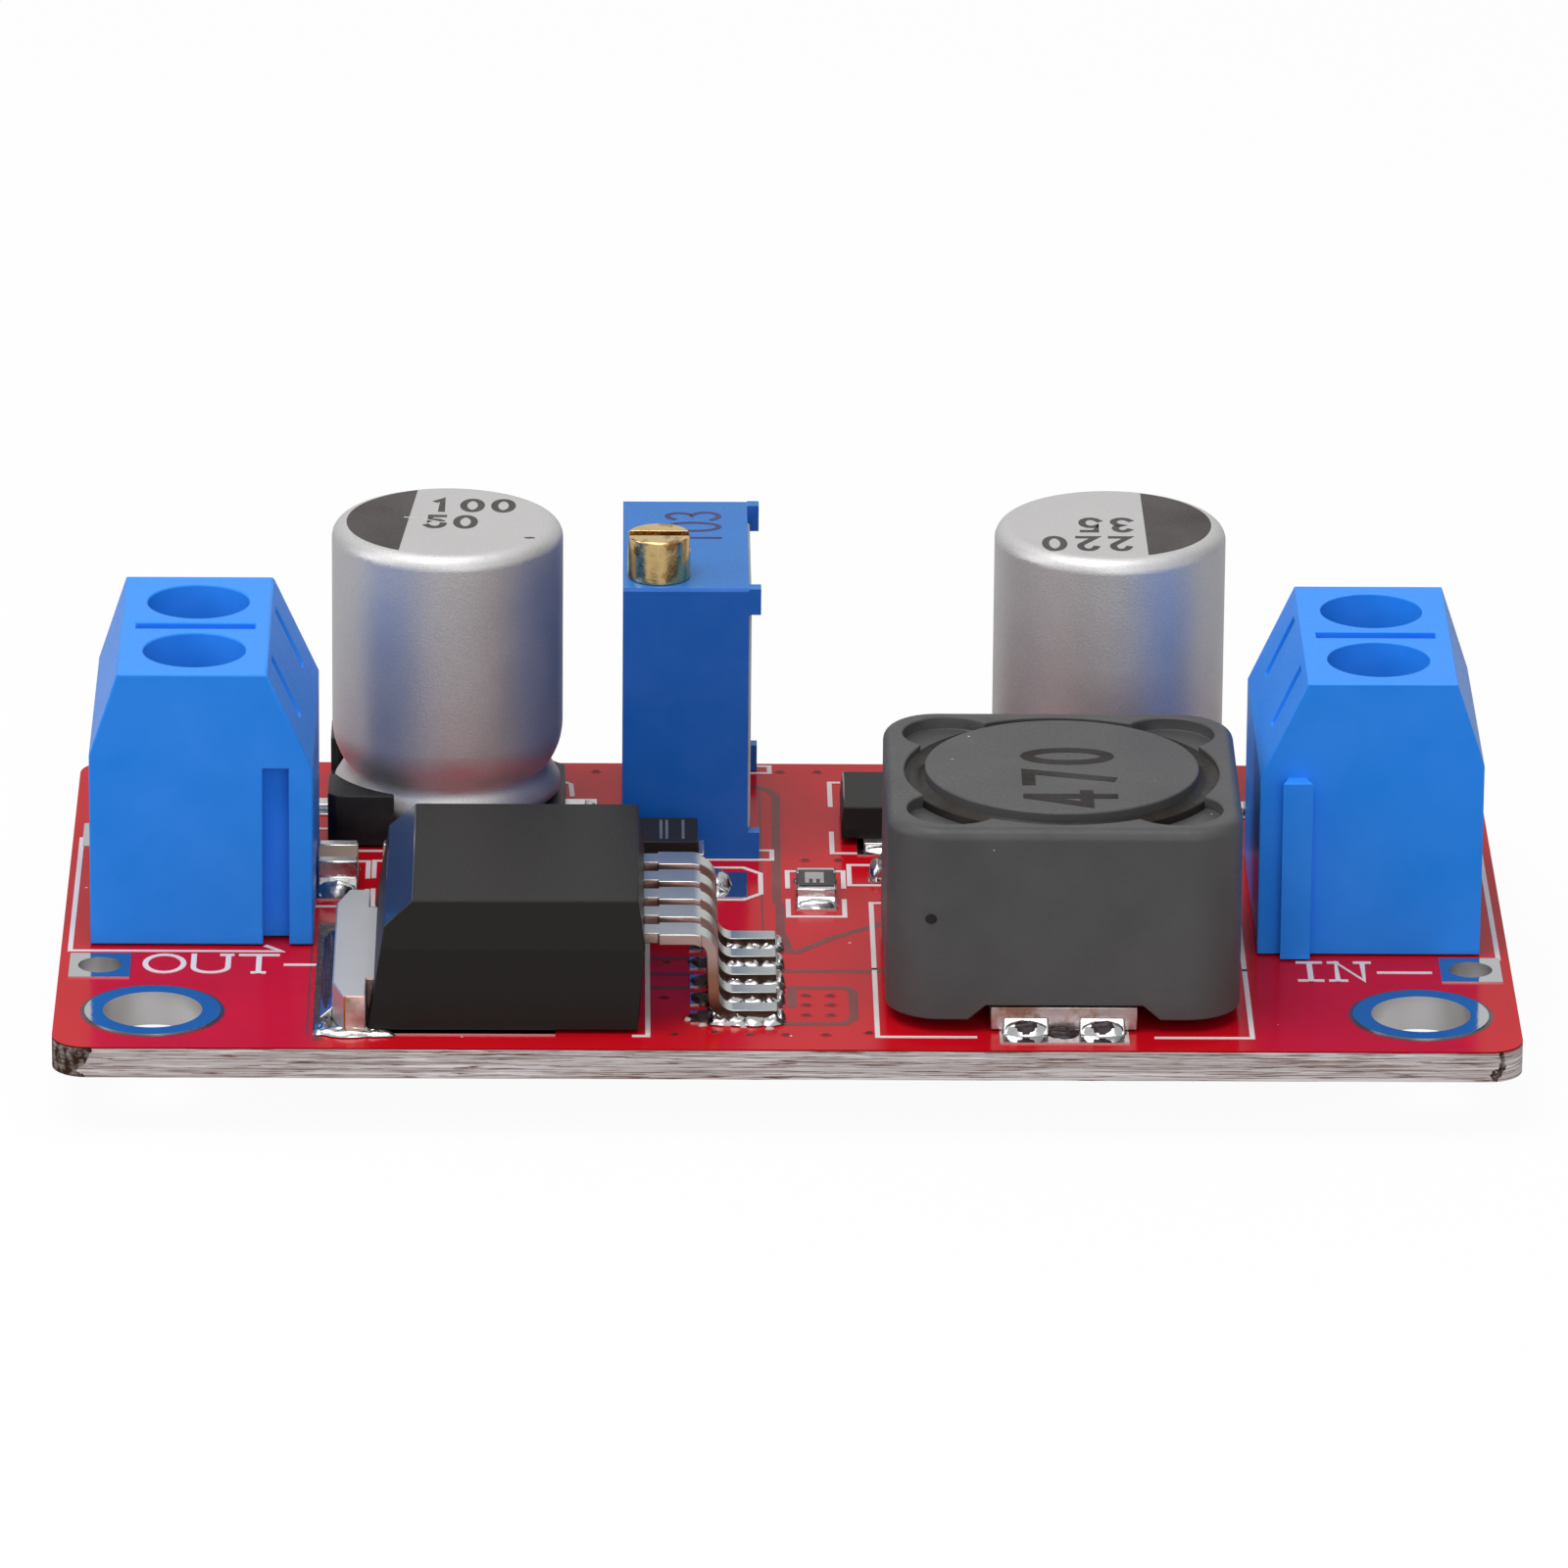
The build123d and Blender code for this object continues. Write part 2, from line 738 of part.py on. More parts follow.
def lead_strip(width):
    # the gull-wing side view: a bent centre line thickened both ways; both ends run past the lead
    zc = top + lead_top - lead_t / 2
    zf = seat + lead_t / 2
    knee = reg_x1 + lead_drop
    line = FilletPolyline(
        (reg_x1 - lead_in - lead_t, zc), (knee, zc),
        (knee + lead_drop_slant, zf), (reg_x1 + lead_end + lead_t, zf),
        radius=lead_bend_r + lead_t / 2,
    )
    band = offset(Plane.XZ * line, amount=lead_t / 2, side=Side.BOTH, kind=Kind.ARC, closed=True)
    return Pos(0, width / 2, 0) * extrude(make_face(band.edges()), amount=width, dir=(0, -1, 0))


def make_lead(y):
    # the strip cut off square at both ends, and narrowed at its sides before and after the shoulder
    strip = lead_strip(lead_shoulder_w)
    x_root, x_end = reg_x1 - lead_in, reg_x1 + lead_end
    z_high = top + 2 * lead_top
    strip -= block(x_root - cut_past, x_root, -lead_shoulder_w, lead_shoulder_w, 0, z_high)
    strip -= block(x_end, x_end + cut_past, -lead_shoulder_w, lead_shoulder_w, 0, z_high)
    for s in (-1, 1):
        a, b = sorted((s * lead_w / 2, s * lead_shoulder_w))
        strip -= block(reg_x1 + lead_wide_to, x_end + cut_past, a, b, 0, z_high)
        a, b = sorted((s * lead_root_w / 2, s * lead_shoulder_w))
        strip -= block(x_root - cut_past, reg_x1 + lead_wide_from, a, b, 0, z_high)
    return Pos(0, y, 0) * strip


def make_leads():
    return [make_lead(y) for y in lead_rows()]


def tapered_body(lx, ly, z0, z_mid, z1, draft):
    # a moulded block: straight up to the parting line, then drawn in to the top
    lower = Pos(0, 0, (z0 + z_mid) / 2) * Box(lx, ly, z_mid - z0)
    upper = extrude(Pos(0, 0, z_mid) * Rectangle(lx, ly), amount=z1 - z_mid, taper=draft)
    return lower + upper


def make_rectifier():
    z0 = seat + rect_term_t
    body = tapered_body(rect_w, rect_l, z0, top + rect_mid, top + rect_top, rect_draft)
    return Pos(rect_x, rect_y, 0) * body


def make_rectifier_terminals():
    tongues = []
    for s in (-1, 1):
        a, b = sorted((s * (rect_l / 2 - rect_term_in), s * (rect_l / 2 + rect_term_out)))
        tongue = block(-rect_term_w / 2, rect_term_w / 2, a, b, seat, seat + rect_term_t)
        tongues.append(Pos(rect_x, rect_y, 0) * tongue)
    return tongues


def make_diode():
    z0 = seat + rect_term_t
    body = tapered_body(diode_l, diode_w, z0, top + diode_term_h, top + diode_top, diode_draft)
    return Pos(diode_x, diode_y, 0) * body


def make_diode_terminals():
    # J-shaped strips: under the body, then up its end to the parting line
    clips = []
    w = diode_term_w / 2
    for s in (-1, 1):
        a, b = sorted((s * (diode_l / 2 - diode_term_in), s * (diode_l / 2 + rect_term_t)))
        foot = block(a, b, -w, w, seat, seat + rect_term_t)
        c, d = sorted((s * diode_l / 2, s * (diode_l / 2 + rect_term_t)))
        clips.append(Pos(diode_x, diode_y, 0) * (foot + block(c, d, -w, w, seat, top + diode_term_h)))
    return clips


def chip_body(height):
    inner = chip_l - 2 * chip_cap_l
    return Pos(0, 0, seat + height / 2) * Box(inner, chip_w, height)


def chip_ends(height):
    ends = []
    for s in (-1, 1):
        cap = Box(chip_cap_l, chip_w, height)
        ends.append(Pos(s * (chip_l - chip_cap_l) / 2, 0, seat + height / 2) * cap)
    return ends


def place_chip(shape, x, y, angle):
    return Pos(x, y, 0) * Rot(0, 0, angle) * shape


def wedge(face_at, sx, sy, width, run, rise):
    # a solder fillet: a triangular prism leaning on a face at face_at = (x, y), facing (sx, sy)
    section = make_face(Polyline((0, 0), (run, 0), (0, rise), close=True))
    prism = extrude(Plane.XZ * section, amount=width / 2, both=True)
    angle = {(1, 0): 0, (0, 1): 90, (-1, 0): 180, (0, -1): 270}[(sx, sy)]
    return Pos(face_at[0], face_at[1], seat) * Rot(0, 0, angle) * prism


def cone_ring(x, y, r_big, r_pin, height):
    outer = Pos(x, y, -height / 2) * Rot(180, 0, 0) * Cone(r_big, r_pin + cone_tip, height)
    return outer - post(r_pin + cone_gap, x, y, -height - cut_past, cut_past)


def make_pin_solder():
    cones = [cone_ring(x, y, cone_r, terminal_pin_r, cone_h) for x, y in terminal_pin_places()]
    cones += [cone_ring(x, y, small_cone_r, trim_pin_r, small_cone_h) for x, y in trimmer_pin_places()]
    return cones


def pad(x0, x1, y0, y1):
    return block(x0, x1, y0, y1, top, seat)


def chip_pads(x, y, angle):
    pads = []
    for s in (-1, 1):
        shape = pad(chip_pad_from, chip_pad_to, -chip_pad_w / 2, chip_pad_w / 2)
        pads.append(place_chip(shape if s > 0 else Rot(0, 0, 180) * shape, x, y, angle))
    return pads


def pad_pair(x, y, along, start, end, width):
    # two like pads, start to end from (x, y) both ways along "x" or "y"
    pads = []
    for s in (-1, 1):
        a, b = sorted((s * start, s * end))
        if along == "x":
            pads.append(pad(x + a, x + b, y - width / 2, y + width / 2))
        else:
            pads.append(pad(x - width / 2, x + width / 2, y + a, y + b))
    return pads


def make_copper_pads():
    x_tab = reg_x0 - tab_out
    pads = [pad(x_tab - tab_pad_out, reg_x0 + tab_pad_in, reg_y - tab_pad_w / 2, reg_y + tab_pad_w / 2)]
    for y in lead_rows():
        pads.append(pad(reg_x1 + lead_pad_from, reg_x1 + lead_pad_to, y - lead_pad_w / 2, y + lead_pad_w / 2))
    pads += pad_pair(ind_x, ind_y, "y", ind_s / 2 - ind_pad_in, ind_s / 2 + ind_pad_out, ind_pad_w)
    pads += pad_pair(rect_x, rect_y, "y", rect_pad_from, rect_pad_to, rect_pad_w)
    pads += pad_pair(diode_x, diode_y, "x", diode_pad_from, diode_pad_to, diode_pad_w)
    for x in can_centre.values():
        pads += pad_pair(x, can_y, "x", cap_pad_from, cap_pad_to, cap_pad_w)
    for x, y, angle, _ in chips():
        pads += chip_pads(x, y, angle)
    return pads


def chips():
    # place, angle and height of each chip
    return [(resistor_x, resistor_y, 90, resistor_h)] + [(*at, ceramic_h) for at in ceramics_at]


def make_smd_solder():
    beads = []
    for s in (-1, 1):
        y_face = ind_y + s * (ind_s / 2 - ind_lip_in)
        for dx in (-ind_bead_dx, ind_bead_dx):
            beads.append(wedge((ind_x + dx, y_face), 0, s, ind_bead_w, ind_bead_run, ind_bead_rise))
        at = (rect_x, rect_y + s * (rect_l / 2 + rect_term_out))
        beads.append(wedge(at, 0, s, rect_term_w, rect_bead_run, rect_term_t))
        at = (diode_x + s * (diode_l / 2 + rect_term_t), diode_y)
        beads.append(wedge(at, s, 0, diode_term_w, diode_bead_run, diode_bead_rise))
        for x in can_centre.values():
            at = (x + s * (base_s / 2 + cap_lead_out), can_y)
            beads.append(wedge(at, s, 0, cap_lead_w, cap_bead_run, cap_lead_t))
    for y in lead_rows():
        beads.append(wedge((reg_x1 + lead_end, y), 1, 0, lead_w, lead_bead_run, lead_bead_rise))
    at = (reg_x0 - tab_out, reg_y)
    beads.append(wedge(at, -1, 0, tab_w - 2 * tab_corner_y, tab_bead_run, tab_bead_rise))
    for x, y, angle, height in chips():
        for s in (-1, 1):
            dx, dy = (s, 0) if angle == 0 else (0, s)
            at = (x + dx * chip_l / 2, y + dy * chip_l / 2)
            beads.append(wedge(at, dx, dy, chip_w, chip_bead_run, chip_bead_share * height))
    return beads


def build():
    os.makedirs("parts", exist_ok=True)
    export("circuit_board", make_board())
    export("mounting_hole_linings", make_mount_linings())
    export("wire_pads", make_wire_pads())
    export("copper_pads", make_copper_pads())
    export("surface_solder", make_smd_solder())
    export("pin_solder", make_pin_solder())
    for side in ("left", "right"):
        export(f"{side}_terminal_housing", make_housing(side))
        export(f"{side}_terminal_contacts", make_contacts(side))
        for place in ("front", "back"):
            export(f"{side}_{place}_wire_guard", make_guard(side, place))
            export(f"{side}_{place}_terminal_screw", make_terminal_screw(side, place))
    export("trimmer_housing", make_trimmer_housing())
    export("trimmer_cover", make_trimmer_cover())
    export("trimmer_wheel", make_trimmer_wheel())
    export("trimmer_screw", make_trimmer_screw())
    export("trimmer_pins", make_trimmer_pins())
    for side, plus in (("left", 1), ("right", -1)):
        x = can_centre[side]
        export(f"{side}_capacitor_can", make_can(x))
        export(f"{side}_capacitor_base", make_cap_base(x, plus))
        export(f"{side}_capacitor_leads", make_cap_leads(x))
    export("inductor_shield", make_shield())
    export("inductor_drum", make_drum())
    export("inductor_winding", make_winding())
    export("inductor_terminals", make_ind_terminals())
    export("regulator_body", make_reg_body())
    export("regulator_tab", make_tab())
    export("regulator_leads", make_leads())
    export("rectifier_body", make_rectifier())
    export("rectifier_terminals", make_rectifier_terminals())
    export("diode_body", make_diode())
    export("diode_terminals", make_diode_terminals())
    export("resistor_body", place_chip(chip_body(resistor_h), resistor_x, resistor_y, 90))
    export("resistor_ends", [place_chip(e, resistor_x, resistor_y, 90) for e in chip_ends(resistor_h)])
    export("ceramic_capacitor_bodies", [place_chip(chip_body(ceramic_h), *at) for at in ceramics_at])
    export("ceramic_capacitor_ends", [place_chip(e, *at) for at in ceramics_at for e in chip_ends(ceramic_h)])


build()
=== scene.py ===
"""Dresses the packed voltage regulator module: finishes, legends, solder, vias, light and camera."""

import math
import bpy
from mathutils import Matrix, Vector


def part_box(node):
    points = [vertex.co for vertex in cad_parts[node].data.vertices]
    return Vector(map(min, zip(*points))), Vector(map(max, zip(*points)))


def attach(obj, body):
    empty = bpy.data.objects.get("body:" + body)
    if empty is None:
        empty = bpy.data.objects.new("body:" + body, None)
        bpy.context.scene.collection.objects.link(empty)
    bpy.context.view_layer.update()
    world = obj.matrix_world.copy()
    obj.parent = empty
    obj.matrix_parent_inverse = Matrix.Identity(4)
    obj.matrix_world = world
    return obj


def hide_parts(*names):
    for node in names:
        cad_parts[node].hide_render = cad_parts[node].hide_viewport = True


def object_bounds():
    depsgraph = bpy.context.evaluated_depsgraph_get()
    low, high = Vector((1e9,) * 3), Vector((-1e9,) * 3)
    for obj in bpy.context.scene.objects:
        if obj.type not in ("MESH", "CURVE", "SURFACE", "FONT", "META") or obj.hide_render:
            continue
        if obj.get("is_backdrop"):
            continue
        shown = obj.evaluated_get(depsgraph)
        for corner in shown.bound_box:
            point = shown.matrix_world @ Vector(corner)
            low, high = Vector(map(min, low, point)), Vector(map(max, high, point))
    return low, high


bl_info = {
    "name": "Voltage regulator module",
    "version": (1, 0, 0),
    "blender": (4, 5, 0),
    "location": "View3D > Sidebar > Regulator",
    "description": "Builds the looks of a small step-up regulator board around its packed solids",
    "category": "Object",
}

import bmesh
import bpy
from mathutils import Matrix, Vector
from mathutils import noise as bumps

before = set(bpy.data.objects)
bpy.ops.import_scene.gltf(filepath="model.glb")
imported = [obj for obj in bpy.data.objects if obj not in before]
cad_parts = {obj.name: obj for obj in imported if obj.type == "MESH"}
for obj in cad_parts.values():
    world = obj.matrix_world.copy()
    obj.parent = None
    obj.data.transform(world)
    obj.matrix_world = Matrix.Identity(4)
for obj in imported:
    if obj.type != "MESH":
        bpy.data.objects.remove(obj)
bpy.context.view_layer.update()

MM = 0.001
PER_MM = 1000.0
BODY = "board"
_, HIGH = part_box("circuit_board")
TOP = HIGH.z
BOARD_HALF_X = HIGH.x
BOARD_HALF_Y = HIGH.y
SIDES = ("left", "right")
PLACES = ("front", "back")

# How far a print starts under its surface, and how far prints and numbers stand above it
PRINT_SUNK = 0.01 * MM
PRINT_RISE = 0.006 * MM
NUMBER_RISE = 0.008 * MM
# Lines that cross lie this far above one another, so that their tops don't share a plane
LAYER = 0.001 * MM


def mm(*values):
    return tuple(v * MM for v in values)


# Settings a user would change


class ModuleSizes(bpy.types.PropertyGroup):
    edge_radius: bpy.props.FloatProperty(
        name="Moulded edge", description="Rounding of moulded plastic edges",
        default=0.10 * MM, min=0.0, unit="LENGTH", precision=5)
    sharp_edge: bpy.props.FloatProperty(
        name="Sharp edge", description="Rounding of metal, ferrite and package edges",
        default=0.05 * MM, min=0.0, unit="LENGTH", precision=5)
    legend_line: bpy.props.FloatProperty(
        name="Legend line", description="Width of a printed legend line",
        default=0.17 * MM, min=0.0, unit="LENGTH", precision=5)
    ink_height: bpy.props.FloatProperty(
        name="Ink height", description="Thickness of printed ink",
        default=0.02 * MM, min=0.0, unit="LENGTH", precision=5)
    via_radius: bpy.props.FloatProperty(
        name="Via radius", description="Outer radius of a via's raised ring",
        default=0.22 * MM, min=0.0, unit="LENGTH", precision=5)


class ModuleColours(bpy.types.PropertyGroup):
    mask: bpy.props.FloatVectorProperty(
        name="Solder mask", description="Red lacquer over copper",
        subtype="COLOR", default=(0.50, 0.003, 0.010))
    mask_bare: bpy.props.FloatVectorProperty(
        name="Mask on laminate", description="Red lacquer over bare laminate",
        subtype="COLOR", default=(0.17, 0.012, 0.014))
    terminal: bpy.props.FloatVectorProperty(
        name="Terminal blue", description="Moulded terminal blocks",
        subtype="COLOR", default=(0.018, 0.250, 0.90))
    trimmer: bpy.props.FloatVectorProperty(
        name="Trimmer blue", description="Moulded trimmer body",
        subtype="COLOR", default=(0.004, 0.105, 0.47))
    ferrite: bpy.props.FloatVectorProperty(
        name="Ferrite", description="Lacquered ferrite",
        subtype="COLOR", default=(0.064, 0.063, 0.065))
    epoxy: bpy.props.FloatVectorProperty(
        name="Package epoxy", description="Black moulding compound",
        subtype="COLOR", default=(0.0165, 0.0148, 0.0138))
    legend: bpy.props.FloatVectorProperty(
        name="Legend ink", description="White legend ink",
        subtype="COLOR", default=(0.74, 0.66, 0.68))


def sizes():
    return bpy.context.scene.module_sizes


def colours():
    return bpy.context.scene.module_colours


# Nodes


def feed(tree, node, inputs):
    """Sets a node's inputs: a link where the value is another node's socket, else a constant."""
    for label, value in inputs.items():
        if isinstance(value, bpy.types.NodeSocket):
            tree.links.new(value, node.inputs[label])
        else:
            node.inputs[label].default_value = value


def add_node(tree, kind, inputs=None, **settings):
    node = tree.nodes.new(kind)
    for label, value in settings.items():
        setattr(node, label, value)
    feed(tree, node, inputs or {})
    return node


def math_node(tree, operation, *values):
    return add_node(tree, "ShaderNodeMath", dict(enumerate(values)), operation=operation).outputs[0]


def split_xyz(tree, vector):
    return add_node(tree, "ShaderNodeSeparateXYZ", {"Vector": vector}).outputs


def object_vector(tree):
    """Object coordinates in millimetres."""
    place = add_node(tree, "ShaderNodeTexCoord").outputs["Object"]
    scaled = add_node(tree, "ShaderNodeMapping", {"Vector": place, "Scale": (PER_MM, PER_MM, PER_MM)})
    return scaled.outputs["Vector"]


def noise(tree, vector, scale, detail=4.0, rough=0.55):
    inputs = {"Vector": vector, "Scale": scale, "Detail": detail, "Roughness": rough}
    return add_node(tree, "ShaderNodeTexNoise", inputs).outputs["Fac"]


def rgba(colour):
    return colour if isinstance(colour, bpy.types.NodeSocket) else (*colour[:3], 1.0)


# Places of the sockets that a Mix node has for colours
MIX_FACTOR, MIX_A, MIX_B, MIX_RESULT = 0, 6, 7, 2


def mix_colour(tree, factor, first, second):
    inputs = {MIX_FACTOR: factor, MIX_A: rgba(first), MIX_B: rgba(second)}
    return add_node(tree, "ShaderNodeMix", inputs, data_type="RGBA").outputs[MIX_RESULT]


def spread(tree, value, low, high, out_low=0.0, out_high=1.0):
    inputs = {"Value": value, "From Min": low, "From Max": high, "To Min": out_low, "To Max": out_high}
    return add_node(tree, "ShaderNodeMapRange", inputs).outputs["Result"]


def add_bump(tree, shader, height, distance_mm, strength=1.0):
    inputs = {"Strength": strength, "Distance": distance_mm * MM, "Height": height}
    feed(tree, shader, {"Normal": add_node(tree, "ShaderNodeBump", inputs).outputs["Normal"]})


def facing(tree, axis, least):
    """1 on faces whose own normal points along an axis by at least that much, 0 elsewhere."""
    normal = add_node(tree, "ShaderNodeNewGeometry").outputs["True Normal"]
    return math_node(tree, "LESS_THAN" if least < 0 else "GREATER_THAN", split_xyz(tree, normal)[axis], least)


# Shader groups shared by the finishes


def new_group(name, inputs, outputs, kind="ShaderNodeTree"):
    tree = bpy.data.node_groups.new(name, kind)
    for label, socket_type, value in inputs:
        socket = tree.interface.new_socket(label, in_out="INPUT", socket_type=socket_type)
        if value is not None:
            socket.default_value = value
    for label, socket_type in outputs:
        tree.interface.new_socket(label, in_out="OUTPUT", socket_type=socket_type)
    return tree, tree.nodes.new("NodeGroupInput").outputs, tree.nodes.new("NodeGroupOutput")


def build_grain():
    """Fine surface grain: a height, and a slow cloud for colour and roughness."""
    tree, source, sink = new_group(
        "Surface grain",
        [("Grain scale", "NodeSocketFloat", 6.0), ("Cloud scale", "NodeSocketFloat", 0.5)],
        [("Height", "NodeSocketFloat"), ("Cloud", "NodeSocketFloat")])
    vector = object_vector(tree)
    feed(tree, sink, {"Height": noise(tree, vector, source["Grain scale"]),
                      "Cloud": noise(tree, vector, source["Cloud scale"], 3.0)})


def build_dust():
    """Scattered pale specks: a mask that is 1 in a speck and 0 elsewhere."""
    tree, source, sink = new_group(
        "Dust specks",
        [("Cells per mm", "NodeSocketFloat", 1.2), ("Speck size", "NodeSocketFloat", 0.06),
         ("Share", "NodeSocketFloat", 0.25)],
        [("Mask", "NodeSocketFloat")])
    inputs = {"Vector": object_vector(tree), "Scale": source["Cells per mm"]}
    cells = add_node(tree, "ShaderNodeTexVoronoi", inputs, feature="F1").outputs
    near = math_node(tree, "LESS_THAN", cells["Distance"], source["Speck size"])
    draw = add_node(tree, "ShaderNodeSeparateColor", {"Color": cells["Color"]}).outputs["Red"]
    chosen = math_node(tree, "LESS_THAN", draw, source["Share"])
    feed(tree, sink, {"Mask": math_node(tree, "MULTIPLY", near, chosen)})


def build_streaks():
    """Fine lines drawn out in layers, for the cut edges of the laminate."""
    tree, source, sink = new_group(
        "Streaks",
        [("Along", "NodeSocketFloat", 0.4), ("Across", "NodeSocketFloat", 14.0)],
        [("Value", "NodeSocketFloat")])
    place = split_xyz(tree, object_vector(tree))
    drawn = {axis: math_node(tree, "MULTIPLY", place[axis], source[way])
             for axis, way in (("X", "Along"), ("Y", "Along"), ("Z", "Across"))}
    vector = add_node(tree, "ShaderNodeCombineXYZ", drawn).outputs["Vector"]
    feed(tree, sink, {"Value": noise(tree, vector, 1.0, 5.0, 0.65)})


GROUP_BUILDERS = {"Surface grain": build_grain, "Dust specks": build_dust, "Streaks": build_streaks}


def place_group(tree, name, **values):
    """The outputs of a shared group, placed in a material with the material's own values."""
    if name not in bpy.data.node_groups:
        GROUP_BUILDERS[name]()
    inputs = {label.replace("_", " "): value for label, value in values.items()}
    node = add_node(tree, "ShaderNodeGroup", node_tree=bpy.data.node_groups[name])
    feed(tree, node, inputs)
    return node.outputs


# Finishes

DUST_PALE = (0.6, 0.6, 0.58)


def principled(name, colour, roughness, metallic=0.0, gloss=0.5):
    """A new material with its Principled shader; returns both and the node tree."""
    material = bpy.data.materials.new(name)
    material.use_nodes = True
    tree = material.node_tree
    shader = tree.nodes["Principled BSDF"]
    feed(tree, shader, {"Base Color": rgba(colour), "Roughness": roughness, "Metallic": metallic,
                        "Specular IOR Level": gloss})
    return material, shader, tree


def grained(name, colour, roughness, metallic, grain, cloud, bump, gloss=0.5):
    """What principled returns, with the shared grain as bumps, and the grain's outputs."""
    material, shader, tree = principled(name, colour, roughness, metallic, gloss)
    group = place_group(tree, "Surface grain", Grain_scale=grain, Cloud_scale=cloud)
    add_bump(tree, shader, group["Height"], bump)
    return material, shader, tree, group


def darker(colour, share):
    return tuple(c * share for c in colour[:3])


def lighter(colour, share):
    return tuple(c + (1 - c) * share for c in colour[:3])


def plain_finish(name, colour, roughness, grain=8.0, bump=0.004, tone=0.12, dust=0.0, top=None, gloss=0.5):
    """Colour with slow cloud, varying roughness, fine grain, pale specks and, where stated, a paler top."""
    if isinstance(colour, str):
        colour = getattr(colours(), colour)
    material, shader, tree, group = grained(name, colour, roughness, 0.0, grain, 0.35, bump, gloss)
    cloud = spread(tree, group["Cloud"], 0.3, 0.7)
    base = mix_colour(tree, cloud, darker(colour, 1 - tone), lighter(colour, tone * 0.25))
    # Painted sheen: faces that point up get a paler colour, standing in for the light that falls on them.
    if top:
        base = mix_colour(tree, facing(tree, "Z", 0.85), base, top)
    if dust:
        specks = place_group(tree, "Dust specks", Cells_per_mm=1.6, Speck_size=0.07, Share=dust)
        base = mix_colour(tree, specks["Mask"], base, DUST_PALE)
    rough = spread(tree, group["Height"], 0.25, 0.75, roughness - 0.08, roughness + 0.08)
    feed(tree, shader, {"Base Color": base, "Roughness": rough})
    return material


def metal_finish(name, colour, roughness, grain=10.0, bump=0.006, stain=None, stain_share=0.0):
    """Tinned or plated metal, with small dents and, where stated, a second tone in patches."""
    material, shader, tree, group = grained(name, colour, roughness, 1.0, grain, 1.3, bump)
    cloud = spread(tree, group["Cloud"], 0.35, 0.65)
    base = mix_colour(tree, cloud, darker(colour, 0.86), lighter(colour, 0.05))
    if stain:
        base = mix_colour(tree, spread(tree, group["Cloud"], 0.62 - 0.3 * stain_share, 0.66), base, stain)
    rough = spread(tree, group["Height"], 0.3, 0.7, max(roughness - 0.1, 0.03), roughness + 0.1)
    feed(tree, shader, {"Base Color": base, "Roughness": rough})
    return material


# The cut edge of the board: its tones, the levels of its long dark lines, and the strip of lacquer on top
LAMINATE_DARK, LAMINATE_PALE = (0.46, 0.40, 0.39), (0.82, 0.78, 0.80)
LAMINATE_LINE, SCORCHED = (0.16, 0.085, 0.065), (0.035, 0.016, 0.008)
LINE_LEVELS, LINE_HALF_WIDTH = (0.42, 0.50, 0.57), 0.011
LACQUER_RIM = 0.06


def board_finish():
    """Red lacquer on the faces, layered laminate on the edges, scorched at two front corners."""
    mask = colours().mask
    material, shader, tree = principled("board_lacquer", mask, 0.2, gloss=0.075)
    is_face = math_node(tree, "ADD", facing(tree, "Z", 0.5), facing(tree, "Z", -0.5))
    is_edge = math_node(tree, "SUBTRACT", 1.0, is_face)
    vector = object_vector(tree)
    place = split_xyz(tree, vector)
    grain = place_group(tree, "Surface grain", Grain_scale=5.0, Cloud_scale=0.22)
    specks = place_group(tree, "Dust specks", Cells_per_mm=0.9, Speck_size=0.05, Share=0.10)
    lacquer = mix_colour(tree, spread(tree, grain["Cloud"], 0.3, 0.7), darker(mask, 0.9), darker(mask, 1.06))
    lacquer = mix_colour(tree, specks["Mask"], lacquer, (0.75, 0.42, 0.44))
    streaks = place_group(tree, "Streaks", Along=0.035, Across=3.4)["Value"]
    fine = place_group(tree, "Streaks", Along=0.14, Across=8.0)["Value"]
    cut = mix_colour(tree, spread(tree, fine, 0.40, 0.65), LAMINATE_DARK, LAMINATE_PALE)
    for level in LINE_LEVELS:
        line = math_node(tree, "COMPARE", streaks, level, LINE_HALF_WIDTH)
        cut = mix_colour(tree, line, cut, LAMINATE_LINE)
    rim = math_node(tree, "GREATER_THAN", place["Z"], TOP / MM - LACQUER_RIM)
    cut = mix_colour(tree, rim, cut, darker(mask, 0.7))
    patchy = spread(tree, noise(tree, vector, 3.5), 0.38, 0.58, 0.55, 1.0)
    burnt = math_node(tree, "MULTIPLY", scorch_mask(tree, vector, place), patchy)
    cut = mix_colour(tree, burnt, cut, SCORCHED)
    rough = math_node(tree, "ADD", math_node(tree, "MULTIPLY", is_edge, 0.5), 0.18)
    feed(tree, shader, {"Base Color": mix_colour(tree, is_edge, lacquer, cut), "Roughness": rough})
    add_bump(tree, shader, streaks, 0.03, 0.5)
    return material


# The scorched corners, in millimetres from the board's ends: the left one's reach, the right one's line and
# half of its width; both end at a share of the board's half depth and wander by this much
SCORCH_LEFT, SCORCH_RIGHT, SCORCH_HALF_LINE = 1.15, 0.85, 0.14
SCORCH_FRONT, SCORCH_WANDER = 0.8, 1.2


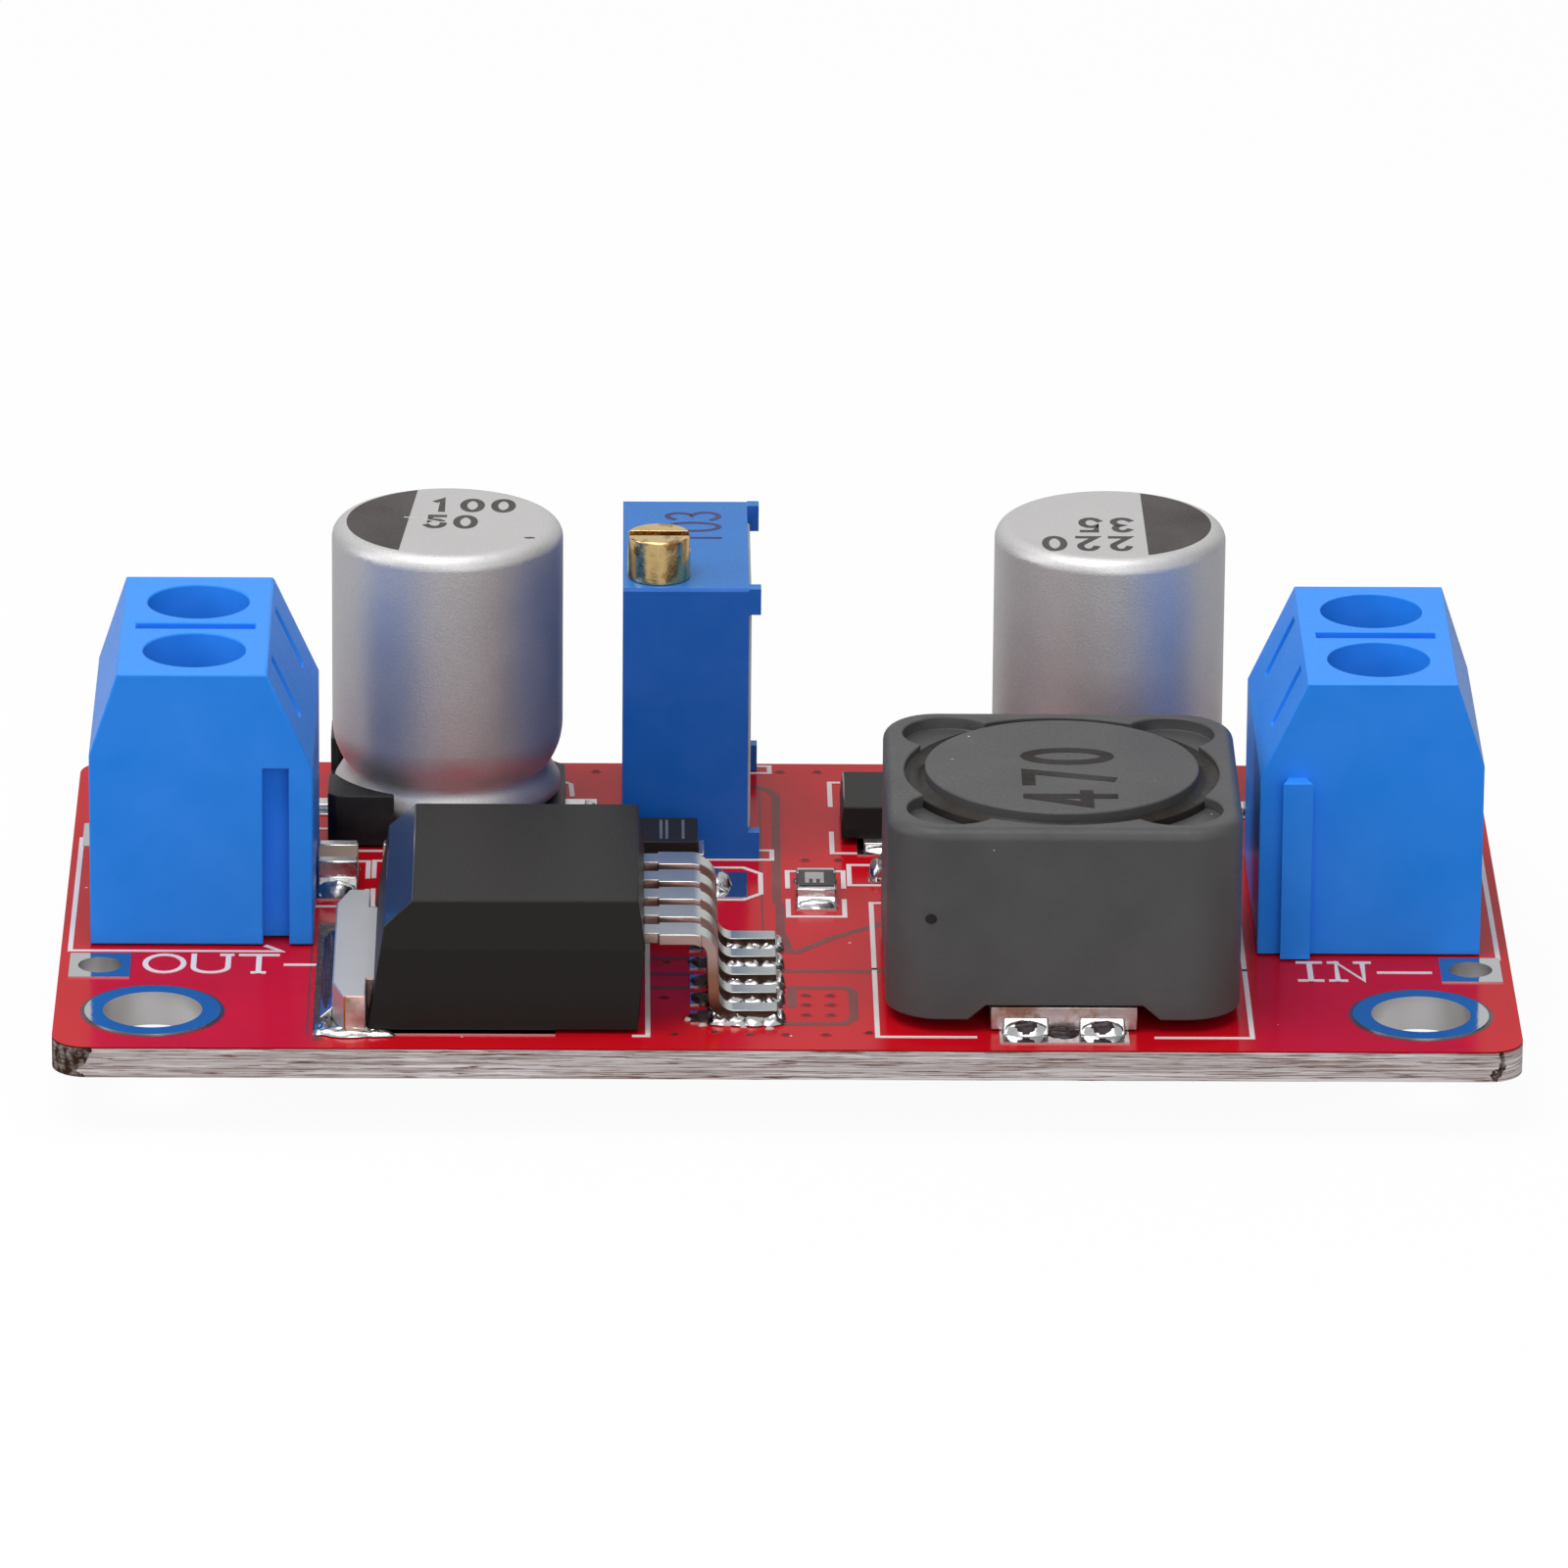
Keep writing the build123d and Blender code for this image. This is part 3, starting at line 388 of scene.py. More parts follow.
def scorch_mask(tree, vector, place):
    """1 where the front corners are browned: the whole left one, and a line on the right."""
    wobble = math_node(tree, "SUBTRACT", noise(tree, vector, 1.6), 0.5)
    moved = math_node(tree, "ADD", place["X"], math_node(tree, "MULTIPLY", wobble, SCORCH_WANDER))
    left = math_node(tree, "LESS_THAN", moved, -BOARD_HALF_X / MM + SCORCH_LEFT)
    right = math_node(tree, "COMPARE", moved, BOARD_HALF_X / MM - SCORCH_RIGHT, SCORCH_HALF_LINE)
    front = math_node(tree, "LESS_THAN", place["Y"], -BOARD_HALF_Y / MM * SCORCH_FRONT)
    return math_node(tree, "MULTIPLY", math_node(tree, "MAXIMUM", left, right), front)


def package_finish():
    """Moulded black epoxy: satin, with the polished slope on its left side like a dark mirror."""
    epoxy = colours().epoxy
    material, shader, tree, group = grained("epoxy_black", epoxy, 0.42, 0.0, 12.0, 0.35, 0.004, gloss=0.12)
    specks = place_group(tree, "Dust specks", Cells_per_mm=1.8, Speck_size=0.05, Share=0.06)
    slope = math_node(tree, "MULTIPLY", facing(tree, "X", -0.3), facing(tree, "Z", 0.3))
    feed(tree, shader, {"Base Color": mix_colour(tree, specks["Mask"], epoxy, (0.30, 0.29, 0.27)),
                        "Coat Weight": slope, "Coat Roughness": 0.10,
                        "Roughness": spread(tree, group["Height"], 0.25, 0.75, 0.36, 0.50)})
    return material


def can_finish():
    """Drawn aluminium: satin all over, with a slow change of tone and a fine crystalline grain."""
    colour = (0.58, 0.57, 0.57)
    material, shader, tree, group = grained("can_aluminium", colour, 0.5, 0.72, 15.0, 0.45, 0.010)
    crystals = spread(tree, group["Height"], 0.35, 0.65)
    base = mix_colour(tree, crystals, darker(colour, 0.94), lighter(colour, 0.10))
    feed(tree, shader, {"Base Color": base, "Roughness": spread(tree, group["Cloud"], 0.3, 0.7, 0.44, 0.52)})
    return material


def plating_finish():
    """Tinned copper: a mirror on the flat rings and pads, satin on the walls of the holes."""
    # The walls' lighter colour is painted light, not a different plating.
    tin, painted_lit_wall = (0.56, 0.57, 0.59), (0.70, 0.69, 0.69)
    material, shader, tree, _ = grained("plating", tin, 0.1, 1.0, 6.0, 1.0, 0.002)
    flat = facing(tree, "Z", 0.9)
    feed(tree, shader, {"Base Color": mix_colour(tree, flat, painted_lit_wall, tin),
                        "Roughness": spread(tree, flat, 0.0, 1.0, 0.30, 0.07)})
    return material


def lead_finish():
    """Tinned leads with cut sides: pinkish at the shoulder, coppery down the bend, dark at the foot."""
    tin = (0.60, 0.64, 0.61)
    # The copper tones of the cut sides are their own; the near black at the foot is painted shade.
    foot_painted_shade, bend, shoulder = (0.06, 0.035, 0.028), (0.30, 0.16, 0.10), (0.46, 0.32, 0.29)
    material, shader, tree, group = grained("lead_cut_sides", tin, 0.34, 1.0, 10.0, 1.3, 0.006)
    height = split_xyz(tree, object_vector(tree))["Z"]
    side = mix_colour(tree, spread(tree, height, 1.6, 2.2), foot_painted_shade, bend)
    side = mix_colour(tree, spread(tree, height, 2.8, 3.5), side, shoulder)
    sides = math_node(tree, "ADD", facing(tree, "Y", 0.6), facing(tree, "Y", -0.6))
    top = mix_colour(tree, group["Cloud"], darker(tin, 0.85), lighter(tin, 0.1))
    feed(tree, shader, {"Base Color": mix_colour(tree, sides, top, side)})
    return material


def tab_finish():
    """The heat tab: flat pale tin on top, bare pinkish copper where its front was cut."""
    tin = (0.70, 0.70, 0.70)
    dull, fresh, corner = (0.24, 0.15, 0.12), (0.62, 0.42, 0.38), (0.42, 0.15, 0.035)
    material, shader, tree, group = grained("tab_metal", tin, 0.46, 1.0, 12.0, 1.1, 0.004)
    top = mix_colour(tree, group["Cloud"], darker(tin, 0.94), lighter(tin, 0.08))
    cut = mix_colour(tree, spread(tree, group["Cloud"], 0.35, 0.6), dull, fresh)
    chamfer = math_node(tree, "MULTIPLY", facing(tree, "X", -0.3), facing(tree, "Y", -0.3))
    cut = mix_colour(tree, chamfer, cut, corner)
    feed(tree, shader, {"Base Color": mix_colour(tree, facing(tree, "Y", -0.3), top, cut)})
    return material


SPECIAL = {
    "board_lacquer": board_finish,
    "can_aluminium": can_finish,
    "plating": plating_finish,
    "lead_cut_sides": lead_finish,
    "tab_metal": tab_finish,
    "epoxy_black": package_finish,
}

# Colour, roughness and what else metal_finish takes
METALS = {
    "solder": ((0.58, 0.57, 0.57), 0.20, dict(grain=4.0, bump=0.012)),
    "clip_metal": ((0.50, 0.42, 0.41), 0.38, dict(stain=(0.30, 0.17, 0.12), stain_share=0.4)),
    "tinned_lead": ((0.78, 0.77, 0.75), 0.36, {}),
    "terminal_steel": ((0.62, 0.62, 0.61), 0.30, {}),
    "contact_metal": ((0.68, 0.64, 0.54), 0.34, {}),
    "brass": ((0.78, 0.56, 0.24), 0.20, dict(grain=12.0, stain=(0.36, 0.20, 0.07), stain_share=0.25)),
    "copper_wire": ((0.72, 0.33, 0.16), 0.35, {}),
}

# A colour or the name of one of the module's colours, roughness and what else plain_finish takes
PRINTED = dict(grain=7.0, bump=0.002)
PLAIN = {
    # The top= colours of the terminal and trimmer blues are painted sheen: the tops are paler only because of
    # how the light falls.
    "terminal_blue": ("terminal", 0.34, dict(grain=7.0, tone=0.06, top=(0.036, 0.275, 0.87), gloss=0.10)),
    "trimmer_blue": ("trimmer", 0.38, dict(grain=9.0, bump=0.003, tone=0.06, dust=0.015,
                                           top=(0.022, 0.16, 0.50), gloss=0.18)),
    "trimmer_plate": ((0.60, 0.60, 0.58), 0.6, {}),
    "trimmer_inner": ((0.72, 0.70, 0.62), 0.5, {}),
    "base_black": ((0.006, 0.006, 0.007), 0.38, dict(grain=9.0, gloss=0.15)),
    "ferrite": ("ferrite", 0.46, dict(grain=7.0, bump=0.010, tone=0.05, dust=0.10, gloss=0.30)),
    "resistor_black": ((0.02, 0.019, 0.018), 0.35, dict(grain=6.0, gloss=0.15)),
    "ceramic_brown": ((0.34, 0.24, 0.17), 0.5, dict(grain=9.0, gloss=0.3)),
    "legend_ink": ("legend", 0.55, dict(grain=7.0, bump=0.006)),
    "print_black": ((0.045, 0.038, 0.036), 0.50, dict(PRINTED, gloss=0.2)),
    "print_grey": ((0.36, 0.34, 0.32), 0.50, PRINTED),
    "print_purple": ((0.022, 0.010, 0.085), 0.60, PRINTED),
    "band_pale": ((0.085, 0.095, 0.13), 0.50, PRINTED),
    "mark_dark": ((0.010, 0.006, 0.005), 0.55, dict(PRINTED, gloss=0.1)),
    "scratch_pale": ((0.55, 0.52, 0.49), 0.50, dict(grain=7.0)),
    "flux_dark": ((0.020, 0.006, 0.008), 0.28, dict(grain=2.5, bump=0.03, gloss=0.25)),
    "flux_pale": ((0.55, 0.42, 0.40), 0.40, dict(grain=5.0, bump=0.02)),
    "mask_gap": ("mask_bare", 0.2, dict(grain=5.0, gloss=0.10)),
    "bare_ring": ((0.045, 0.02, 0.022), 0.35, dict(grain=5.0)),
    "via_dark": ((0.06, 0.002, 0.006), 0.4, dict(gloss=0.1)),
    "glue_dark": ((0.016, 0.012, 0.009), 0.40, dict(grain=3.0, bump=0.02, gloss=0.15)),
}
FINISHES = {}


def finish(name):
    """The finish with that name, made when first asked for."""
    if name not in FINISHES:
        if name in SPECIAL:
            FINISHES[name] = SPECIAL[name]()
        else:
            maker, table = (metal_finish, METALS) if name in METALS else (plain_finish, PLAIN)
            colour, roughness, extra = table[name]
            FINISHES[name] = maker(name, colour, roughness, **extra)
    return FINISHES[name]


# Mesh helpers


def new_object(name, data):
    made = bpy.data.objects.new(name, data)
    bpy.context.collection.objects.link(made)
    return made


def mesh_of(bm, name):
    mesh = bpy.data.meshes.new(name)
    bm.to_mesh(mesh)
    bm.free()
    return mesh


def add_piece(name, bm, material, smooth_angle=None):
    """Turns a bmesh into a piece that rides on the board."""
    mesh = mesh_of(bm, name)
    if smooth_angle is not None:
        mesh.shade_smooth()
        mesh.set_sharp_from_angle(angle=math.radians(smooth_angle))
    dress_mesh(name, mesh, material, BODY)


def dress_mesh(name, mesh, material, body):
    mesh.materials.clear()
    mesh.materials.append(finish(material))
    piece = new_object(name, mesh)
    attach(piece, body)
    return piece


def flattened(piece):
    """The evaluated mesh of a piece, with its modifiers applied, in place of the piece."""
    bpy.context.view_layer.update()
    graph = bpy.context.evaluated_depsgraph_get()
    mesh = bpy.data.meshes.new_from_object(piece.evaluated_get(graph))
    mesh.name = piece.name
    bpy.data.objects.remove(piece, do_unlink=True)
    return mesh


# Corners nearer than this, in metres, are one; faces that meet at less than this angle are one; and edges
# stay sharp from this many degrees over the angle that is rounded
WELD, ONE_FACE, SHARP_OVER = 1e-7, 0.6, 12


def welded(node):
    """A copy of a CAD node's mesh with its loose triangles joined."""
    bm = bmesh.new()
    bm.from_mesh(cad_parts[node].data)
    bmesh.ops.remove_doubles(bm, verts=bm.verts, dist=WELD)
    return bm


def softened(node, width, material, body=BODY, segments=2, crease=32):
    """A copy of a CAD node with its corners rounded, which replaces that node."""
    bm = welded(node)
    bmesh.ops.dissolve_limit(bm, angle_limit=math.radians(ONE_FACE), verts=bm.verts, edges=bm.edges)
    draft = new_object(node + "_draft", mesh_of(bm, node + "_soft"))
    if width:
        bevel = draft.modifiers.new("round", "BEVEL")
        bevel.width = width
        bevel.segments = segments
        bevel.limit_method = "ANGLE"
        bevel.angle_limit = math.radians(crease)
        bevel.use_clamp_overlap = True
        bevel.harden_normals = False
    draft.data.shade_smooth()
    draft.data.set_sharp_from_angle(angle=math.radians(crease + SHARP_OVER))
    level = draft.modifiers.new("flat_faces", "WEIGHTED_NORMAL")
    level.keep_sharp = True
    level.weight = 100
    piece = dress_mesh(node + "_shown", flattened(draft), material, body)
    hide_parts(node)


def paint_node(node, material):
    """Gives a CAD node its finish and leaves its mesh alone."""
    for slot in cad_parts[node].material_slots:
        slot.material = finish(material)


def join_rows(bm, near, far):
    """Faces between two closed rows of as many corners."""
    count = len(near)
    for i in range(count):
        j = (i + 1) % count
        bm.faces.new((near[i], near[j], far[j], far[i]))


def add_strip(bm, points, width, low, high):
    """A flat band along a line in X and Y, mitred at its bends; one that ends where it starts is closed."""
    closed = points[0] == points[-1]
    spots = [Vector(p) for p in (points[:-1] if closed else points)]
    count = len(spots)
    legs = [(spots[(i + 1) % count] - spot).normalized() for i, spot in enumerate(spots)]
    rails = []
    for i, spot in enumerate(spots):
        before = legs[i - 1] if closed or i > 0 else legs[i]
        after = legs[i] if closed or i < count - 1 else before
        if not closed and i in (0, count - 1):
            spot = spot + before * (width / 2 if i else -width / 2)
        side = Vector((-before.y - after.y, before.x + after.x)).normalized()
        reach = width / 2 / max(side.dot(Vector((-before.y, before.x))), 0.5)
        rails.append([bm.verts.new((*(spot + side * reach * turn), z)) for turn, z in
                      ((-1, low), (1, low), (1, high), (-1, high))])
    for i in range(count if closed else count - 1):
        join_rows(bm, rails[i], rails[(i + 1) % count])
    if not closed:
        bm.faces.new(rails[0][::-1])
        bm.faces.new(rails[-1])


def add_prism(bm, outline, low, high):
    """A closed prism over an outline in X and Y that runs anticlockwise."""
    under, over = ([bm.verts.new((x, y, z)) for x, y in outline] for z in (low, high))
    bm.faces.new(under[::-1])
    bm.faces.new(over)
    join_rows(bm, under, over)


def add_turned(bm, centre, section, steps):
    """A closed ring turned about a point in X and Y, from a section of radius and height."""
    rows = [[bm.verts.new((*spot, z)) for spot in disc(centre.x, centre.y, r, r, steps)] for r, z in section]
    for k, row in enumerate(rows):
        join_rows(bm, row, rows[(k + 1) % len(rows)])
    bmesh.ops.recalc_face_normals(bm, faces=bm.faces)


# How fast a lump's bumps change round its rim and over its skin, how much rougher the skin is, and its rings
RIM_PACE, SKIN_PACE, SKIN_ROUGH, LUMP_RINGS = 1.3, 2.0, 1.6, 5


def add_lump(bm, x, y, half_x, half_y, low, height, rough, turns=18):
    """A closed lumpy dome in millimetres; its bumps follow from its place alone."""
    rows = []
    for k in range(LUMP_RINGS):
        share = 1 - k / LUMP_RINGS
        rise = height * math.sqrt(1 - share * share)
        row = []
        for i in range(turns):
            turn = 2 * math.pi * i / turns
            a, b = math.cos(turn), math.sin(turn)
            wave = share * (1 + rough * bumps.noise((RIM_PACE * (x + a), RIM_PACE * (y + b), share)))
            swell = 1 + SKIN_ROUGH * rough * bumps.noise((SKIN_PACE * (x + a * share), y, b))
            row.append(bm.verts.new(mm(x + half_x * a * wave, y + half_y * b * wave, low + rise * swell)))
        rows.append(row)
    for near, far in zip(rows, rows[1:]):
        join_rows(bm, near, far)
    crown = bm.verts.new(mm(x, y, low + height))
    for i in range(turns):
        bm.faces.new((rows[-1][i], rows[-1][(i + 1) % turns], crown))
    bm.faces.new(rows[0][::-1])


def box_mm(node):
    return [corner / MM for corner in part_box(node)]


def top_of(node):
    """The middle of a node's box in X and Y, at the height of its top."""
    low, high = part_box(node)
    return Vector(((low.x + high.x) / 2, (low.y + high.y) / 2, high.z))


def print_levels(surface, rise=PRINT_RISE):
    """Bottom and top of a print on a surface."""
    return surface - PRINT_SUNK, surface + rise


def loose_solids(node):
    """Middle and size, in millimetres, of each separate solid of a CAD node, in order of place."""
    bm = welded(node)
    left = set(bm.verts)
    boxes = []
    while left:
        heap = [left.pop()]
        seen = set(heap)
        while heap:
            vert = heap.pop()
            for edge in vert.link_edges:
                other = edge.other_vert(vert)
                if other not in seen:
                    seen.add(other)
                    heap.append(other)
        left -= seen
        low, high = (Vector([pick(v.co[k] for v in seen) for k in range(3)]) for pick in (min, max))
        boxes.append((low, high))
    bm.free()
    boxes.sort(key=lambda pair: (round(pair[0].x, 6), round(pair[0].y, 6)))
    return [((low + high) / 2 / MM, (high - low) / MM) for low, high in boxes]


# Legends. Each sign is a set of strokes on a grid one unit high.


def bow(x, y, reach_x, reach_y, start, end, steps=10):
    """Points on an ellipse about (x, y), from one angle to another in degrees."""
    turns = [math.radians(start + (end - start) * i / steps) for i in range(steps + 1)]
    return [(x + reach_x * math.cos(t), y + reach_y * math.sin(t)) for t in turns]


def disc(x, y, reach_x, reach_y, steps):
    """The corners of a closed ellipse."""
    return bow(x, y, reach_x, reach_y, 0, 360, steps)[:-1]


def loop(points):
    """A closed line through the points."""
    return points[:-1] + points[:1]


STROKES = {
    "0": [loop(bow(0.34, 0.5, 0.34, 0.5, 0, 360, 20))],
    "1": [[(0.0, 0.84), (0.2, 1), (0.2, 0)]],
    "2": [bow(0.31, 0.7, 0.29, 0.3, 165, -25) + [(0.02, 0), (0.64, 0)]],
    "3": [bow(0.28, 0.76, 0.27, 0.24, 150, -80, 8) + bow(0.28, 0.26, 0.32, 0.26, 70, -150, 8)],
    "4": [[(0.46, 0), (0.46, 1)], [(0.42, 0.97), (0, 0.3), (0.66, 0.3)]],
    "5": [[(0.58, 1), (0.12, 1), (0.06, 0.56)] + bow(0.28, 0.33, 0.33, 0.33, 125, -150, 10)],
    "7": [[(0, 1), (0.62, 1), (0.22, 0)]],
    "I": [[(0.0, 1), (0.4, 1)], [(0.2, 1), (0.2, 0)], [(0.0, 0), (0.4, 0)]],
    "N": [[(0.12, 0), (0.12, 1), (0.62, 0), (0.62, 1)], [(0.0, 1), (0.12, 1)], [(0.0, 0), (0.26, 0)],
          [(0.5, 1), (0.74, 1)]],
    "O": [loop(bow(0.39, 0.5, 0.39, 0.5, 0, 360, 20))],
    "U": [[(0, 1)] + bow(0.35, 0.3, 0.35, 0.3, 180, 360) + [(0.7, 1)], [(0.58, 1), (0.76, 1)]],
    "T": [[(0, 1), (0.72, 1)], [(0.36, 1), (0.36, 0)], [(0.26, 0), (0.46, 0)]],
    "-": [[(0, 0.45), (0.95, 0.45)]],
    "+": [[(0, 0.45), (0.78, 0.45)], [(0.39, 0.8), (0.39, 0.1)]],
}
# A sign moves the next one on by its own width, except these
ADVANCE = {"1": 0.52}


def add_sign(bm, text, place, levels, height, wide, gap, line, turn=0.0):
    """Writes strokes from a lower left corner. wide stretches each sign; turn is in degrees."""
    low, high = levels
    spin = Matrix.Rotation(math.radians(turn), 2)
    cursor = 0.0
    for letter in text:
        strokes = STROKES[letter]
        reach = ADVANCE.get(letter, max(x for stroke in strokes for x, _ in stroke))
        for level, stroke in enumerate(strokes):
            spots = [spin @ Vector(((cursor + x * wide) * height, y * height)) for x, y in stroke]
            points = [(place[0] + spot.x, place[1] + spot.y) for spot in spots]
            add_strip(bm, points, line, low, high + level * LAYER)
        cursor += reach * wide + gap


# Board. The outlines stand off the parts that they frame by the millimetres given here


def legend_paths():
    """Every printed outline, in millimetres."""
    return (block_paths() + inductor_paths() + regulator_paths() + trimmer_paths() + can_paths()
            + diode_paths() + chip_paths())


def block_paths():
    """A frame round each terminal block, open where the block's inner end stands over it."""
    low, high = box_mm("left_terminal_housing")
    out, near, far, end = low.x - 0.68, low.y - 0.52, low.y + 10.7, high.x - 1.1
    frames = [[(end, far), (out, far), (out, near), (end, near), (end - 0.5, near + 0.5)]]
    low, high = box_mm("right_terminal_housing")
    out, near, far = high.x + 0.62, high.y - 10.65, high.y + 0.4
    frames.append([(low.x + 1.1, far), (out, far), (out, near), (high.x - 1.2, near)])
    return frames


def inductor_paths():
    """A frame round the inductor, broken where its two clips are soldered."""
    low, high = box_mm("inductor_shield")
    clip_low, clip_high = box_mm("inductor_terminals")
    middle = (low.y + high.y) / 2
    ends = ((low.x - 0.3, clip_low.x - 0.55), (high.x + 0.35, clip_high.x + 0.65))
    return [[(inward, y), (x, y), (x, middle)] for y in (low.y - 0.45, high.y + 0.45) for x, inward in ends]


def regulator_paths():
    """A bracket at the leads' side of the regulator."""
    low, high = box_mm("regulator_body")
    right, near, far, back = high.x + 0.1, low.y - 0.2, high.y + 0.25, 0.45
    return [[(right - back, near), (right, near), (right, far), (right - back, far)]]


def trimmer_paths():
    """Two small hooks to the right of the trimmer; the front one starts with a line along its front."""
    low, high = box_mm("trimmer_housing")
    tip, near, far = high.x + 0.45, low.y - 0.08, high.y - 0.02
    return [[(low.x + 0.6, near), (tip, near), (tip, near + 0.95), (high.x - 0.1, near + 0.95)],
            [(high.x - 0.3, far - 0.7), (tip, far - 0.7), (tip, far), (high.x - 0.1, far)]]


def can_paths():
    """A line in front of each can, and two short marks at the left can's back."""
    paths = []
    off = 0.3
    for side in SIDES:
        low, high = box_mm(side + "_capacitor_base")
        paths.append([(low.x - off, low.y - off), (high.x + off, low.y - off)])
    low, high = box_mm("left_capacitor_base")
    paths.append([(high.x - 0.1, high.y - 1.4), (high.x + 0.2, high.y - 1.7), (high.x + 0.25, high.y - 2.9)])
    paths.append([(high.x, low.y + 4.9), (high.x + 0.9, low.y + 4.9)])
    return paths


def diode_paths():
    """A frame with two cut corners round the small diode, and two marks left of the rectifier."""
    low, high = box_mm("diode_body")
    left, right, near, far, cut = low.x - 1.9, high.x + 2.2, low.y - 0.15, high.y + 0.57, 0.6
    frame_line = [(left, near), (right - cut, near), (right, near + cut), (right, far - cut),
                  (right - cut, far), (left, far), (left, near)]
    low, high = box_mm("rectifier_body")
    left, near = low.x - 0.33, low.y - 0.84
    return [frame_line,
            [(left + 0.3, high.y + 2.55), (left, high.y + 2.55), (left, high.y + 0.1)],
            [(left, low.y + 1.27), (left, near), (high.x, near)]]


def chip_paths():
    """Two brackets round each chip."""
    paths = []
    near, far = 0.62, 2.27
    for node, half in (("resistor_body", 0.98), ("ceramic_capacitor_bodies", 1.02)):
        for middle, _ in loose_solids(node):
            upright = not (node.startswith("ceramic") and middle.x > 0)
            for end in (-1, 1):
                shape = [(-half, end * near), (-half, end * far), (half, end * far), (half, end * near)]
                paths.append([(middle.x + a, middle.y + b) if upright else (middle.x + b, middle.y + a)
                              for a, b in shape])
    return paths


# Each word: its lower left corner, height and stretch
WORDS = (("OUT-", -22.05, -7.1, 1.7, 1.0), ("IN-", 17.7, -7.5, 1.75, 1.03),
         ("OUT+", -22.05, 6.6, 1.5, 1.1), ("IN+", 17.7, 6.1, 1.6, 1.1))
WORD_LINE, WORD_GAP = 0.19 * MM, 0.2

VIA_PLACES = [
    (-6.56, 13.38), (0.03, 13.4), (1.36, 13.4), (0.81, 4.3), (1.99, 4.3),
    (-4.1, -5.9), (-4.18, -9.35), (-3.86, -12.85), (-2.49, -12.65), (-1.29, -12.87), (-0.05, -12.86),
    (1.29, -12.85), (2.78, -12.65),
] + [(x, y) for x in (0.66, 1.5) for y in (-9.1, -10.0, -10.97)]

POUR_GAPS = [
    [(-0.9, 11.85), (-0.42, 11.45), (-0.16, 10.9), (-0.24, 0.1)],
    [(-0.13, -0.2), (-0.14, -2.8), (0.17, -4.9), (0.4, -4.9), (1.68, -3.47), (3.1, -2.3), (4.6, -0.9)],
    [(-0.2, -6.74), (4.2, -6.74)],
    [(0.17, -10.1), (0.19, -8.36), (2.08, -8.36), (2.28, -8.7), (2.28, -11.3), (1.95, -11.8), (-0.2, -11.83)],
    [(-4.7, -5.55), (-3.3, -5.55)],
    [(-4.7, -7.1), (-3.3, -7.1)],
    [(-4.7, -8.4), (-3.3, -8.4)],
    [(-16.0, -4.1), (-16.0, -13.4)],
]
TRACE_EDGES = [
    [(-0.75, 11.5), (-0.75, -2.9)],
    [(-16.35, -4.4), (-16.35, -13.2)],
]
POUR_GAP_WIDTH, TRACE_EDGE_WIDTH = 0.32 * MM, 0.08 * MM
GAP_SUNK, GAP_RISE = 0.02 * MM, 0.003 * MM
CLEARANCE_RING, RING_STEPS = 0.14 * MM, 64


def add_paths(bm, paths, width, low, high, lift=0.0):
    """Strips along lines given in millimetres, each lifted over the one before."""
    for level, path in enumerate(paths):
        add_strip(bm, [mm(*p) for p in path], width, low, high + level * lift)


def build_board():
    paint_node("circuit_board", "board_lacquer")
    for node in ("mounting_hole_linings", "wire_pads", "copper_pads"):
        paint_node(node, "plating")
    s = sizes()
    ink = print_levels(TOP, s.ink_height)
    outlines, words, gaps, rings = (bmesh.new() for _ in range(4))
    add_paths(outlines, legend_paths(), s.legend_line, *ink)
    add_piece("legend_outlines", outlines, "legend_ink")
    for text, x, y, height, wide in WORDS:
        add_sign(words, text, mm(x, y), ink, height * MM, wide, WORD_GAP, WORD_LINE)
    add_piece("legend_words", words, "legend_ink")
    for paths, width in ((POUR_GAPS, POUR_GAP_WIDTH), (TRACE_EDGES, TRACE_EDGE_WIDTH)):
        add_paths(gaps, paths, width, TOP - GAP_SUNK, TOP + GAP_RISE, LAYER / 2)
    add_piece("copper_pour_gaps", gaps, "mask_gap")
    for middle, size in loose_solids("mounting_hole_linings"):
        inner = size.x / 2 * MM
        outer = inner + CLEARANCE_RING
        for low, high in (print_levels(TOP), (-PRINT_RISE, PRINT_SUNK)):
            section = [(inner, low), (outer, low), (outer, high), (inner, high)]
            add_turned(rings, middle * MM, section, RING_STEPS)
    add_piece("mask_clearance_rings", rings, "bare_ring")
    add_vias(s)


# The share of a via ring taken by its hole, the share of the painted shade disc in that hole, and how flat
# the ring is
VIA_HOLE_SHARE, VIA_HOLE_SHADE_SHARE, VIA_FLATNESS = 0.6, 0.62, 0.25
VIA_HOLE_SHADE_RISE = 0.01 * MM


